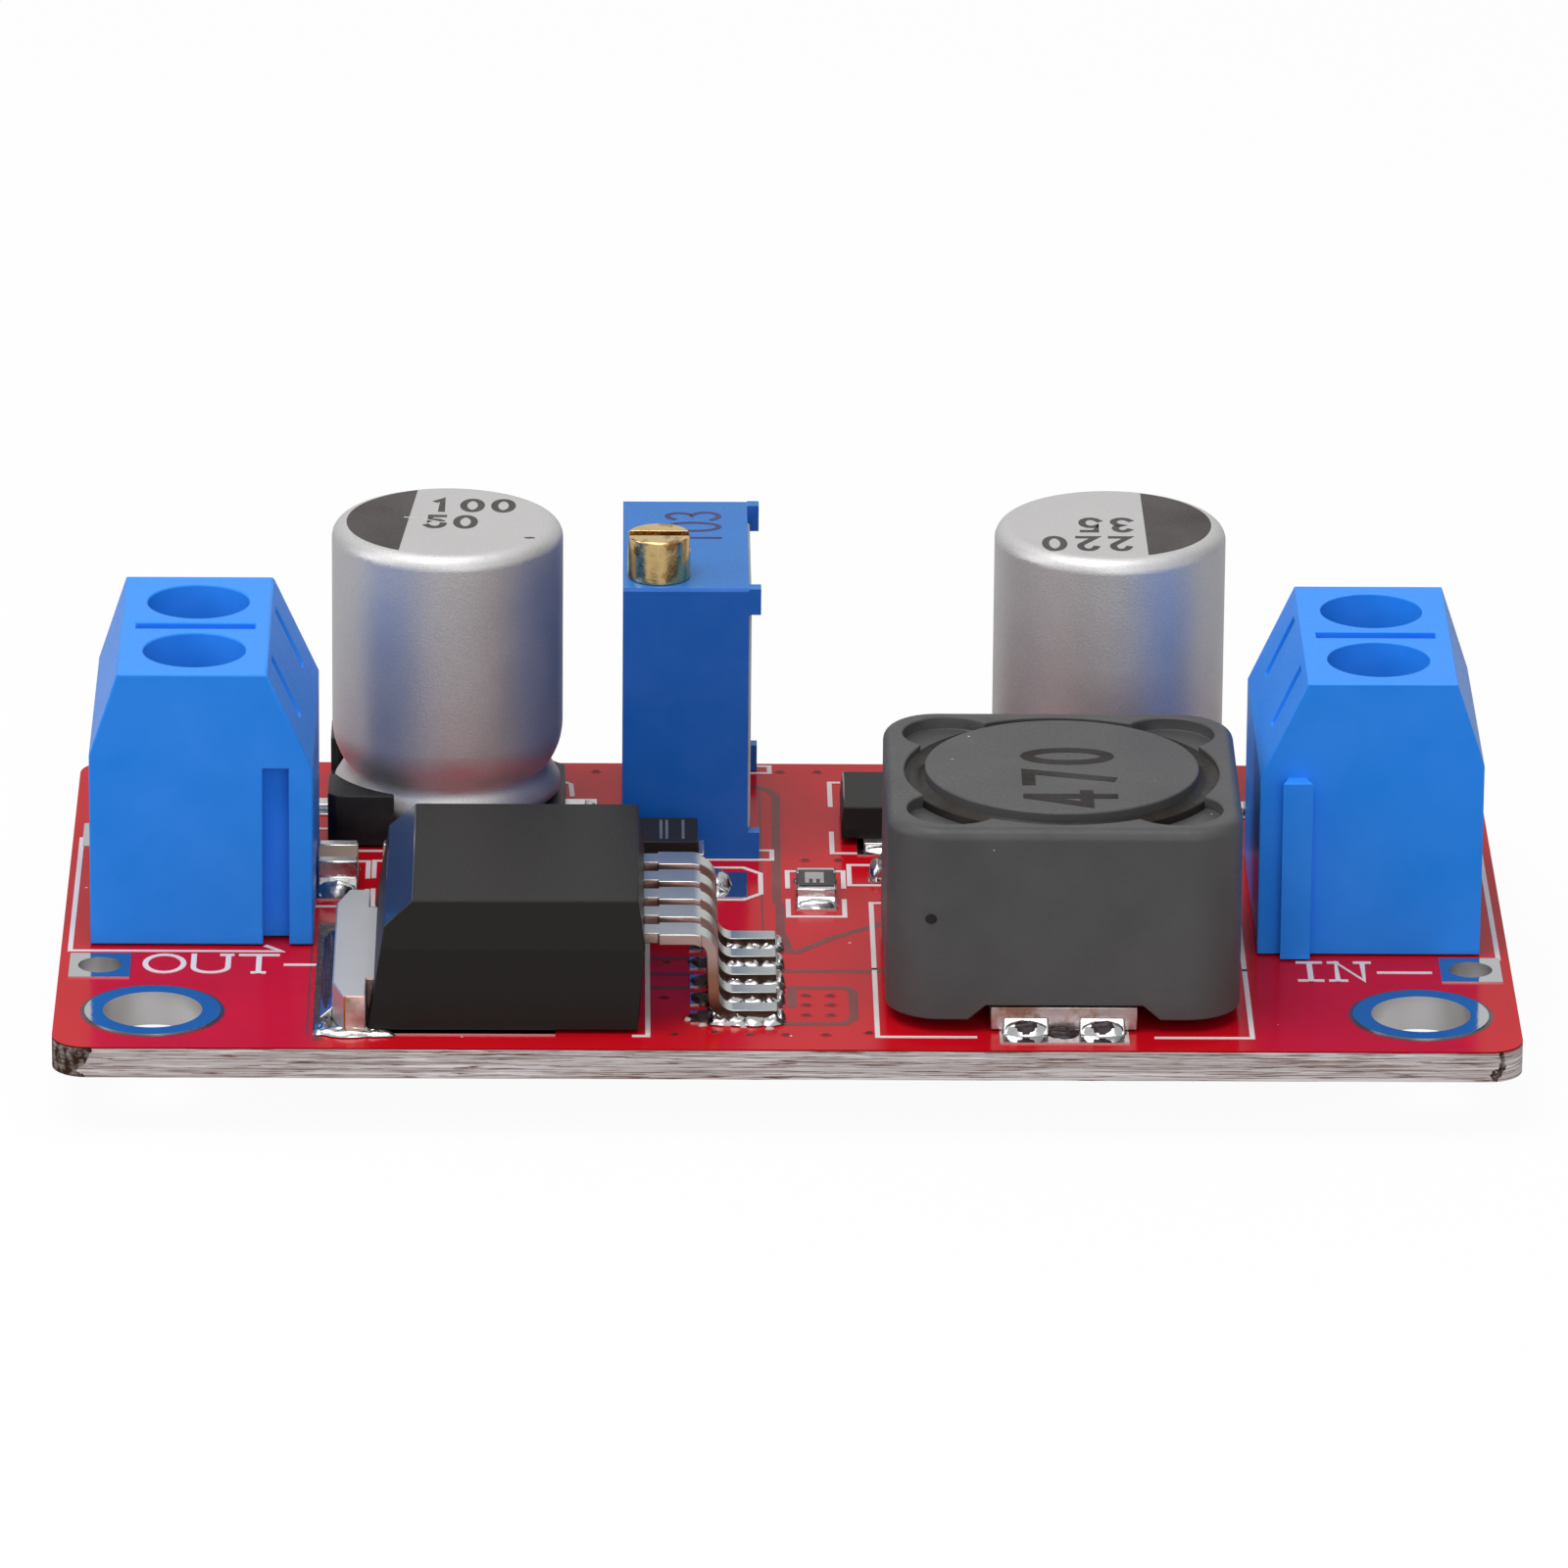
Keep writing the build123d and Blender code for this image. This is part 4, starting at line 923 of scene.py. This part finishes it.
def via_tree():
    """A node tree that puts a flattened ring on each point, makes them real and gives them a finish."""
    tree, source, sink = new_group(
        "Vias",
        [("Geometry", "NodeSocketGeometry", None), ("Radius", "NodeSocketFloat", None),
         ("Hole radius", "NodeSocketFloat", None), ("Finish", "NodeSocketMaterial", None)],
        [("Geometry", "NodeSocketGeometry")], kind="GeometryNodeTree")
    curves = []
    for operation, steps in (("ADD", 20), ("SUBTRACT", 8)):
        both = math_node(tree, operation, source["Radius"], source["Hole radius"])
        inputs = {"Resolution": steps, "Radius": math_node(tree, "MULTIPLY", both, 0.5)}
        curves.append(add_node(tree, "GeometryNodeCurvePrimitiveCircle", inputs).outputs["Curve"])
    sweep = add_node(tree, "GeometryNodeCurveToMesh", {"Curve": curves[0], "Profile Curve": curves[1]})
    squeeze = add_node(tree, "GeometryNodeTransform", {"Geometry": sweep.outputs["Mesh"],
                                                       "Scale": (1, 1, VIA_FLATNESS)})
    placed = add_node(tree, "GeometryNodeInstanceOnPoints", {"Points": source["Geometry"],
                                                             "Instance": squeeze.outputs["Geometry"]})
    real = add_node(tree, "GeometryNodeRealizeInstances", {"Geometry": placed.outputs["Instances"]})
    coated = add_node(tree, "GeometryNodeSetMaterial", {"Geometry": real.outputs["Geometry"],
                                                        "Material": source["Finish"]})
    feed(tree, sink, {"Geometry": coated.outputs["Geometry"]})
    return tree


def add_vias(s):
    """Raised rings at the vias, placed by a node tree and made one plain mesh, with dark holes in them."""
    points = bpy.data.meshes.new("via_points")
    points.from_pydata([(x * MM, y * MM, TOP) for x, y in VIA_PLACES], [], [])
    holder = new_object("vias_draft", points)
    modifier = holder.modifiers.new("vias", "NODES")
    modifier.node_group = via_tree()
    keys = {item.name: item.identifier for item in modifier.node_group.interface.items_tree
            if item.in_out == "INPUT"}
    modifier[keys["Radius"]] = s.via_radius
    modifier[keys["Hole radius"]] = s.via_radius * VIA_HOLE_SHARE
    modifier[keys["Finish"]] = finish("board_lacquer")
    mesh = flattened(holder)
    mesh.shade_smooth()
    dress_mesh("vias", mesh, "board_lacquer", BODY)
    # Flat dark discs are painted shade where the holes go down into the board.
    bm = bmesh.new()
    dark = s.via_radius * VIA_HOLE_SHADE_SHARE
    for x, y in VIA_PLACES:
        add_prism(bm, disc(x * MM, y * MM, dark, dark, 16), TOP - GAP_SUNK, TOP + VIA_HOLE_SHADE_RISE)
    add_piece("via_holes", bm, "via_dark")


# Terminal blocks and trimmer


def build_terminals():
    s = sizes()
    for side in SIDES:
        softened(side + "_terminal_housing", s.edge_radius, "terminal_blue")
        softened(side + "_terminal_contacts", s.sharp_edge, "contact_metal")
        for place in PLACES:
            pole = f"{side}_{place}"
            softened(pole + "_wire_guard", s.sharp_edge, "terminal_steel", body=pole + "_clamp")
            softened(pole + "_terminal_screw", s.sharp_edge, "terminal_steel", body=pole + "_screw")


# The number on the trimmer: its corner in millimetres from the housing's right and front, and its form
TRIMMER_NUMBER_PLACE = (1.43, 5.27)
TRIMMER_NUMBER = dict(height=1.83 * MM, wide=0.72, gap=0.18, line=0.19 * MM, turn=90)


def build_trimmer():
    s = sizes()
    softened("trimmer_housing", s.edge_radius, "trimmer_blue")
    softened("trimmer_cover", s.sharp_edge, "trimmer_plate")
    softened("trimmer_screw", s.sharp_edge, "brass", body="trimmer_adjuster")
    softened("trimmer_wheel", s.sharp_edge, "trimmer_inner", body="trimmer_rotor")
    paint_node("trimmer_pins", "tinned_lead")
    low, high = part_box("trimmer_housing")
    from_right, from_front = mm(*TRIMMER_NUMBER_PLACE)
    bm = bmesh.new()
    add_sign(bm, "103", (high.x - from_right, low.y + from_front), print_levels(high.z, NUMBER_RISE),
             **TRIMMER_NUMBER)
    add_piece("trimmer_number", bm, "print_purple")


# The print on each can: its turn in degrees, the segment's distance from the centre, the middle of its arc in
# degrees, the height, stretch and gap of the numbers, and the lower left corner of each line before the turn
CAN_PRINT = {
    "left": {"turn": -1.5, "arc": 174.9, "edge": 1.39, "size": (1.22, 0.76, 0.38),
             "lines": (("100", -0.44, 1.15), ("50", -0.70, -0.66))},
    "right": {"turn": 180.0, "arc": 0.5, "edge": 1.20, "size": (1.36, 0.70, 0.40),
              "lines": (("220", -0.60, 1.46), ("35", -0.68, -0.56))},
}
CAN_LINE, CAN_PRINT_MARGIN = 0.25 * MM, 0.05 * MM
# A scratch and a dark speck on the left can's top, from its centre, in millimetres
CAN_SCRATCH, SCRATCH_WIDTH = [(-1.5, 0.42), (-0.9, 0.25), (-0.3, -0.08), (0.15, -0.16)], 0.09 * MM
CAN_SPECK, SPECK_HALF = (2.9, -1.76), (0.20, 0.08)
SCRATCH_LIFT = 4 * LAYER


def build_capacitors():
    s = sizes()
    for side in SIDES:
        softened(side + "_capacitor_can", 0, "can_aluminium", crease=25)
        softened(side + "_capacitor_base", s.sharp_edge, "base_black")
        softened(side + "_capacitor_leads", s.sharp_edge, "tinned_lead")
        print_can(side)


def print_can(side):
    """The black segment that marks one side of the can's top, and its numbers."""
    centre = top_of(side + "_capacitor_can")
    z_low, z_high = print_levels(centre.z)
    rim = [v.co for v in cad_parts[side + "_capacitor_can"].data.vertices if v.co.z > z_low]
    radius = max(math.hypot(co.x - centre.x, co.y - centre.y) for co in rim) - CAN_PRINT_MARGIN
    layout = CAN_PRINT[side]
    half = math.degrees(math.acos(layout["edge"] * MM / radius))
    outline = bow(centre.x, centre.y, radius, radius, layout["arc"] - half, layout["arc"] + half, 40)
    bm = bmesh.new()
    add_prism(bm, outline, z_low, z_high)
    spin = Matrix.Rotation(math.radians(layout["turn"]), 2)
    tall, wide, gap = layout["size"]
    for text, x, y in layout["lines"]:
        spot = spin @ Vector(mm(x, y)) + centre.xy
        add_sign(bm, text, spot, (z_low, z_high), tall * MM, wide, gap, CAN_LINE, layout["turn"])
    if side == "left":
        x, y = mm(*CAN_SPECK)
        add_prism(bm, disc(centre.x + x, centre.y + y, *mm(*SPECK_HALF), 10), z_low, z_high)
        scratch = bmesh.new()
        add_strip(scratch, [(centre.x + x * MM, centre.y + y * MM) for x, y in CAN_SCRATCH], SCRATCH_WIDTH,
                  z_low, z_high + SCRATCH_LIFT)
        add_piece("can_scratch", scratch, "scratch_pale")
    add_piece(side + "_can_print", bm, "print_black")


# The inductor's number: its corner in millimetres from the centre, and its form
INDUCTOR_NUMBER_PLACE = (1.59, -3.85)
INDUCTOR_NUMBER = dict(height=2.77 * MM, wide=0.66, gap=0.34, line=0.46 * MM, turn=90)
# A flat dark spot on the front of the shield, painted shade for a small pit, from its left side and above the
# board's underside, in millimetres
PIT_FROM_LEFT, PIT_HEIGHT, PIT_HALF = 1.48, 5.22, (0.20, 0.17)
PIT_RISE, PIT_DEPTH = 0.004 * MM, 0.02 * MM
# The glue: how far it runs into the drum and out to the shield, its floor, and its skin as distances from the
# shield's wall and from the drum's. Heights are below the shield's top
GLUE_IN, GLUE_OUT, GLUE_FLOOR, GLUE_STEPS = 0.02, 0.72, -1.0, 96
SKIN_AT_SHIELD = [(0.0, -0.20), (-0.14, -0.34), (-0.34, -0.42)]
SKIN_AT_DRUM = [(0.22, -0.36), (0.0, -0.18)]


def build_inductor():
    s = sizes()
    softened("inductor_shield", s.sharp_edge, "ferrite")
    softened("inductor_drum", s.sharp_edge, "ferrite")
    softened("inductor_terminals", s.sharp_edge, "clip_metal")
    paint_node("inductor_winding", "copper_wire")
    drum = top_of("inductor_drum")
    x, y = mm(*INDUCTOR_NUMBER_PLACE)
    bm = bmesh.new()
    add_sign(bm, "470", (drum.x + x, drum.y + y), print_levels(drum.z, NUMBER_RISE), **INDUCTOR_NUMBER)
    add_piece("inductor_number", bm, "mark_dark")
    pour_glue(drum)
    # A flat dark disc stands in for the shade inside the pit.
    low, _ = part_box("inductor_shield")
    bm = bmesh.new()
    add_prism(bm, disc(0, 0, *mm(*PIT_HALF), 14), -PIT_RISE, PIT_DEPTH)
    bmesh.ops.rotate(bm, verts=bm.verts, matrix=Matrix.Rotation(math.radians(-90), 3, "X"))
    bmesh.ops.translate(bm, verts=bm.verts, vec=(low.x + PIT_FROM_LEFT * MM, low.y, PIT_HEIGHT * MM))
    add_piece("ferrite_pit", bm, "mark_dark")


def pour_glue(drum):
    """Dark glue in the gap round the drum, sunk in the middle, with its skin drawn up both walls."""
    radius = (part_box("inductor_drum")[1].x - drum.x) / MM
    inner, outer = radius - GLUE_IN, radius + GLUE_OUT
    section = [(inner, GLUE_FLOOR), (outer, GLUE_FLOOR)]
    section += [(outer + across, z) for across, z in SKIN_AT_SHIELD]
    section += [(inner + across, z) for across, z in SKIN_AT_DRUM]
    level = top_of("inductor_shield").z
    bm = bmesh.new()
    add_turned(bm, drum, [(r * MM, level + z * MM) for r, z in section], GLUE_STEPS)
    add_piece("inductor_glue", bm, "glue_dark", smooth_angle=50)


# Packages and chips

# Thin sheet pieces are rounded less, by this share
THIN = 0.6
# Lines across the small diode's top at its marked end, in millimetres from its middle, and half their length
CATHODE_LINES, CATHODE_REACH, CATHODE_WIDTH = (0.85, 1.05, 1.62), 0.9, 0.10 * MM
# What lies on the resistor, with its finish and height. Each block is x, y, half width, half depth
RESISTOR_TOP = [
    ("resistor_glaze", "resistor_black", 0.03, [(0.0, 0.0, 0.62, 0.78)]),
    ("resistor_mark", "print_grey", 0.036, [(-0.06, 0.18, 0.33, 0.34), (-0.32, -0.34, 0.07, 0.2),
                                            (-0.06, -0.34, 0.06, 0.2), (0.20, -0.34, 0.07, 0.2)]),
]


def build_regulator():
    s = sizes()
    softened("regulator_body", s.sharp_edge, "epoxy_black")
    softened("regulator_tab", s.sharp_edge, "tab_metal")
    softened("regulator_leads", s.sharp_edge * THIN, "lead_cut_sides")


def build_diodes():
    s = sizes()
    for name in ("rectifier", "diode"):
        softened(name + "_body", s.sharp_edge, "epoxy_black")
        softened(name + "_terminals", s.sharp_edge * THIN, "tinned_lead")
    middle = top_of("diode_body")
    bm = bmesh.new()
    for x in CATHODE_LINES:
        ends = [(middle.x + x * MM, middle.y + y * MM) for y in (-CATHODE_REACH, CATHODE_REACH)]
        add_strip(bm, ends, CATHODE_WIDTH, *print_levels(middle.z))
    add_piece("diode_band", bm, "band_pale")


def build_chips():
    s = sizes()
    softened("resistor_body", s.sharp_edge * THIN, "resistor_black")
    softened("resistor_ends", s.sharp_edge, "solder")
    middle = top_of("resistor_body")
    for name, finish_name, level, blocks in RESISTOR_TOP:
        bm = bmesh.new()
        for x, y, half_x, half_y in blocks:
            outline = [(middle.x + (x + a * half_x) * MM, middle.y + (y + b * half_y) * MM)
                       for a, b in ((-1, -1), (1, -1), (1, 1), (-1, 1))]
            add_prism(bm, outline, *print_levels(middle.z, level * MM))
        add_piece(name, bm, finish_name)
    softened("ceramic_capacitor_bodies", s.sharp_edge, "ceramic_brown")
    softened("ceramic_capacitor_ends", s.sharp_edge, "solder")


# Solder and flux, in millimetres. Each lump is x, y, half width, half depth, height
TAB_SOLDER = [(-15.0, -13.0, 1.15, 0.36, 0.22), (-13.95, -13.05, 0.62, 0.26, 0.16),
              (-15.85, -12.6, 0.30, 0.62, 0.20)]
FLUX_POOLS = [(-15.70, -7.5, 0.26, 4.6, 0.49), (9.4, -12.75, 0.62, 0.30, 0.22),
              (9.4, -0.35, 0.62, 0.30, 0.22)]
FLUX_LENSES = [(8.10, -12.79, 0.66, 0.27, 0.50), (10.70, -12.79, 0.66, 0.27, 0.50)]
FLUX_CRUMBS = [(-2.9, -12.05, 0.16, 0.10, 0.10), (-2.1, -12.0, 0.20, 0.09, 0.12),
               (-1.5, -12.2, 0.10, 0.08, 0.08), (-0.6, -12.35, 0.15, 0.10, 0.09),
               (-3.4, -11.5, 0.12, 0.14, 0.10)]
FLUX_STRIP, FLUX_STRIP_WIDTH, FLUX_STRIP_RISE = [(-15.84, -2.75), (-15.84, -12.3)], 0.62 * MM, 0.06
# Flux higher than this is a smooth lens; how rough lenses, other flux and the lumps of solder are
LENS_HEIGHT, LENS_ROUGH, FLUX_ROUGH = 0.4, 0.1, 0.4
FILLET_ROUGH, FOOT_ROUGH, TAB_ROUGH = 0.10, 0.38, 0.3
# At each lead of the regulator: where lumps stand along it, their offsets and half depths at its two sides,
# their half width and height, and a spot of flux before the foot: x, half width, half depth, height
FOOT_LUMPS, FOOT_SIDES = (-2.35, -1.75, -1.15, -0.55), ((0.48, 0.30), (-0.48, 0.34))
FOOT_HALF_X, FOOT_HEIGHT = 0.46, 0.22
FOOT_FLUX = (-2.92, 0.42, 0.55, 0.15)
# A fillet longer than this gets no lump; a lump overhangs its fillet and stands as high as a share of it
LONGEST_LUMP, OVERHANG, LUMP_SHARE = 3.0, 0.08, 0.90
SOLDER_SUNK, FLUX_SUNK = 0.01, 0.04


def build_solder():
    softened("surface_solder", 0.15 * MM, "solder", segments=4)
    softened("pin_solder", 0.05 * MM, "solder", crease=25)
    pad_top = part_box("copper_pads")[1].z / MM
    rows = [middle.y for middle, _ in loose_solids("regulator_leads")]
    bm = bmesh.new()
    low = pad_top - SOLDER_SUNK
    for middle, size in loose_solids("surface_solder"):
        if max(size.x, size.y) < LONGEST_LUMP:
            add_lump(bm, middle.x, middle.y, size.x / 2 + OVERHANG, size.y / 2 + OVERHANG, low,
                     size.z * LUMP_SHARE, FILLET_ROUGH)
    for y in rows:
        for shift, half_y in FOOT_SIDES:
            for x in FOOT_LUMPS:
                add_lump(bm, x, y + shift, FOOT_HALF_X, half_y, low, FOOT_HEIGHT, FOOT_ROUGH, turns=14)
    for x, y, half_x, half_y, height in TAB_SOLDER:
        add_lump(bm, x, y, half_x, half_y, low, height, TAB_ROUGH)
    add_piece("solder_lumps", bm, "solder", smooth_angle=60)
    residue, crumbs = bmesh.new(), bmesh.new()
    add_paths(residue, [FLUX_STRIP], FLUX_STRIP_WIDTH, TOP, (pad_top + FLUX_STRIP_RISE) * MM)
    x, half_x, half_y, height = FOOT_FLUX
    at_feet = [(x, y, half_x, half_y, height) for y in rows]
    low = pad_top - FLUX_SUNK
    for target, lumps in ((residue, FLUX_POOLS + at_feet + FLUX_LENSES), (crumbs, FLUX_CRUMBS)):
        for x, y, half_x, half_y, height in lumps:
            rough = LENS_ROUGH if height > LENS_HEIGHT else FLUX_ROUGH
            add_lump(target, x, y, half_x, half_y, low, height, rough)
    add_piece("flux_residue", residue, "flux_dark", smooth_angle=60)
    add_piece("flux_crumbs", crumbs, "flux_pale", smooth_angle=60)


# Light, floor and camera. Lengths are in millimetres, angles in degrees

CAMERA = {
    "lens": 312.5,
    "sensor": 36.0,
    "aim": (0.0, 1.412, 4.99),
    "distance": 474.8,
    "azimuth": -0.822,
    "elevation": 19.95,
    "roll": 0.503,
    "clip_metres": (0.01, 20),
}
# Name, place, aim, side, power in watts and colour
LAMPS = [
    ("key_top", (-60, -60, 320), (0, 0, 0), 260, 0.74, (1.0, 0.99, 0.98)),
    ("fill_front", (60, -420, 160), (0, 0, 0), 240, 0.42, (1.0, 1.0, 1.0)),
    ("side_left", (-320, -40, 140), (0, 0, 5), 160, 0.25, (1.0, 1.0, 1.0)),
]
# Dark cards out of view, which the metal cans reflect: name, place, aim, sides and shade
CARDS = [
    ("dark_card_left", (-150, 60, 40), (0, 0, 5), (70, 160), 0.02),
    ("dark_card_right", (150, 60, 40), (0, 0, 5), (70, 160), 0.02),
]
FLOOR_SIDE, FLOOR_DROP = 8000, 0.02
FLOOR_LIT, FLOOR_SHOWN = (0.42, 0.42, 0.42), (0.8, 0.8, 0.8)
WHITE = (1, 1, 1, 1)
# How much of the even white shows straight on and in mirrors, on the floor and in the world
FLOOR_SEEN, FLOOR_MIRRORED, WORLD_MIRRORED, WORLD_LIGHT = 0.95, 0.3, 0.75, 0.5


def build_stage():
    low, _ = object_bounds()
    scene = bpy.context.scene
    scene.view_settings.view_transform = "Standard"
    make_floor(low.z)
    make_world(scene)
    for lamp in LAMPS:
        make_lamp(*lamp)
    for card in CARDS:
        make_card(*card)
    make_camera(scene)


def flat_sheet(name, sides):
    """A single level face."""
    bm = bmesh.new()
    bmesh.ops.create_grid(bm, x_segments=1, y_segments=1, size=0.5)
    bmesh.ops.scale(bm, vec=(sides[0] * MM, sides[1] * MM, 1), verts=bm.verts)
    return new_object(name, mesh_of(bm, name))


def ray_kinds(tree):
    """1 for a ray from the camera or through glass, and 1 for a mirrored ray."""
    path = add_node(tree, "ShaderNodeLightPath").outputs
    seen = math_node(tree, "MAXIMUM", path["Is Camera Ray"], path["Is Transmission Ray"])
    return seen, path["Is Glossy Ray"]


def make_floor(level):
    """A pale floor that keeps the shadow, and shows as even white straight on."""
    floor = flat_sheet("floor", (FLOOR_SIDE, FLOOR_SIDE))
    floor.location.z = level - FLOOR_DROP * MM
    material, shader, tree = principled("floor_white", FLOOR_SHOWN, 0.9, gloss=0.0)
    glow = add_node(tree, "ShaderNodeEmission", {"Color": WHITE, "Strength": 1.0})
    seen, glossy = ray_kinds(tree)
    share = math_node(tree, "MAXIMUM", math_node(tree, "MULTIPLY", seen, FLOOR_SEEN),
                      math_node(tree, "MULTIPLY", glossy, FLOOR_MIRRORED))
    feed(tree, shader, {"Base Color": mix_colour(tree, seen, FLOOR_LIT, FLOOR_SHOWN)})
    mix = add_node(tree, "ShaderNodeMixShader", {"Fac": share, 1: shader.outputs["BSDF"],
                                                 2: glow.outputs["Emission"]})
    feed(tree, tree.nodes["Material Output"], {"Surface": mix.outputs["Shader"]})
    floor.data.materials.append(material)
    floor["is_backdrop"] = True


def make_world(scene):
    world = scene.world or bpy.data.worlds.new("studio")
    scene.world = world
    world.use_nodes = True
    tree = world.node_tree
    seen, glossy = ray_kinds(tree)
    shown = math_node(tree, "MAXIMUM", seen, math_node(tree, "MULTIPLY", glossy, WORLD_MIRRORED))
    strength = math_node(tree, "MAXIMUM", shown, WORLD_LIGHT)
    feed(tree, tree.nodes["Background"], {"Color": WHITE, "Strength": strength})


def look_at(obj, aim):
    direction = Vector(mm(*aim)) - obj.location
    obj.rotation_mode = "QUATERNION"
    obj.rotation_quaternion = direction.to_track_quat("-Z", "Y")


def make_lamp(name, place, aim, side, power, tint):
    data = bpy.data.lights.new(name, "AREA")
    data.shape = "SQUARE"
    data.size = side * MM
    data.energy = power
    data.color = tint
    lamp = new_object(name, data)
    lamp.location = mm(*place)
    look_at(lamp, aim)


def make_card(name, place, aim, sides, shade):
    card = flat_sheet(name, sides)
    card.location = mm(*place)
    look_at(card, aim)
    card.data.materials.append(principled(name + "_paper", (shade, shade, shade), 0.8)[0])
    card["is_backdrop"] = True


def make_camera(scene):
    azimuth, elevation, roll = (math.radians(CAMERA[key]) for key in ("azimuth", "elevation", "roll"))
    back = Vector((math.sin(azimuth) * math.cos(elevation), -math.cos(azimuth) * math.cos(elevation),
                   math.sin(elevation)))
    data = bpy.data.cameras.new("camera")
    data.lens = CAMERA["lens"]
    data.sensor_width = CAMERA["sensor"]
    data.clip_start, data.clip_end = CAMERA["clip_metres"]
    camera = new_object("camera", data)
    camera.location = Vector(mm(*CAMERA["aim"])) + back * CAMERA["distance"] * MM
    camera.rotation_mode = "QUATERNION"
    level = (-back).to_track_quat("-Z", "Y")
    camera.rotation_quaternion = Matrix.Rotation(roll, 3, back).to_quaternion() @ level
    scene.camera = camera


# Operators, one for each group of pieces


def make_operator(name, label, note, builder):
    """An operator class whose execute runs one builder."""

    def execute(self, context):
        builder()
        return {"FINISHED"}

    words = "".join(w.capitalize() for w in name.split("_"))
    return type("REGULATOR_OT_" + name, (bpy.types.Operator,), {
        "bl_idname": "regulator." + name, "bl_label": label, "__doc__": note, "execute": execute,
        "bl_options": {"REGISTER", "UNDO"}})


STEPS = [
    ("board", "Board", "Lacquer, legends, copper gaps, clearance rings and vias", build_board),
    ("terminals", "Terminals", "Both terminal blocks with their contacts, clamps and screws",
     build_terminals),
    ("trimmer", "Trimmer", "Trimmer body, plate, screw and number", build_trimmer),
    ("capacitors", "Capacitors", "Both cans with bases, leads and print", build_capacitors),
    ("inductor", "Inductor", "Shield, drum, clips and number", build_inductor),
    ("regulator", "Regulator", "Power package, tab and leads", build_regulator),
    ("diodes", "Diodes", "Rectifier and small diode", build_diodes),
    ("chips", "Chips", "Chip resistor and chip capacitors", build_chips),
    ("solder", "Solder", "Solder on pads and pins", build_solder),
    ("stage", "Stage", "Floor, lamps, cards and camera", build_stage),
]
OPERATORS = [make_operator(*step) for step in STEPS]


class REGULATOR_PT_panel(bpy.types.Panel):
    """Lists the steps in the order in which they run"""

    bl_idname = "REGULATOR_PT_panel"
    bl_label = "Regulator"
    bl_space_type = "VIEW_3D"
    bl_region_type = "UI"
    bl_category = "Regulator"

    def draw(self, context):
        for name, label, _, _ in STEPS:
            self.layout.operator("regulator." + name, text=label)
        for group in (context.scene.module_sizes, context.scene.module_colours):
            for key in group.bl_rna.properties.keys():
                if key not in ("rna_type", "name"):
                    self.layout.prop(group, key)


CLASSES = [ModuleSizes, ModuleColours, *OPERATORS, REGULATOR_PT_panel]


def register():
    for cls in CLASSES:
        bpy.utils.register_class(cls)
    bpy.types.Scene.module_sizes = bpy.props.PointerProperty(type=ModuleSizes)
    bpy.types.Scene.module_colours = bpy.props.PointerProperty(type=ModuleColours)


def unregister():
    del bpy.types.Scene.module_sizes
    del bpy.types.Scene.module_colours
    for cls in reversed(CLASSES):
        bpy.utils.unregister_class(cls)


def main():
    register()
    for name, _, _, _ in STEPS:
        getattr(bpy.ops.regulator, name)()


if __name__ == "__main__":
    main()
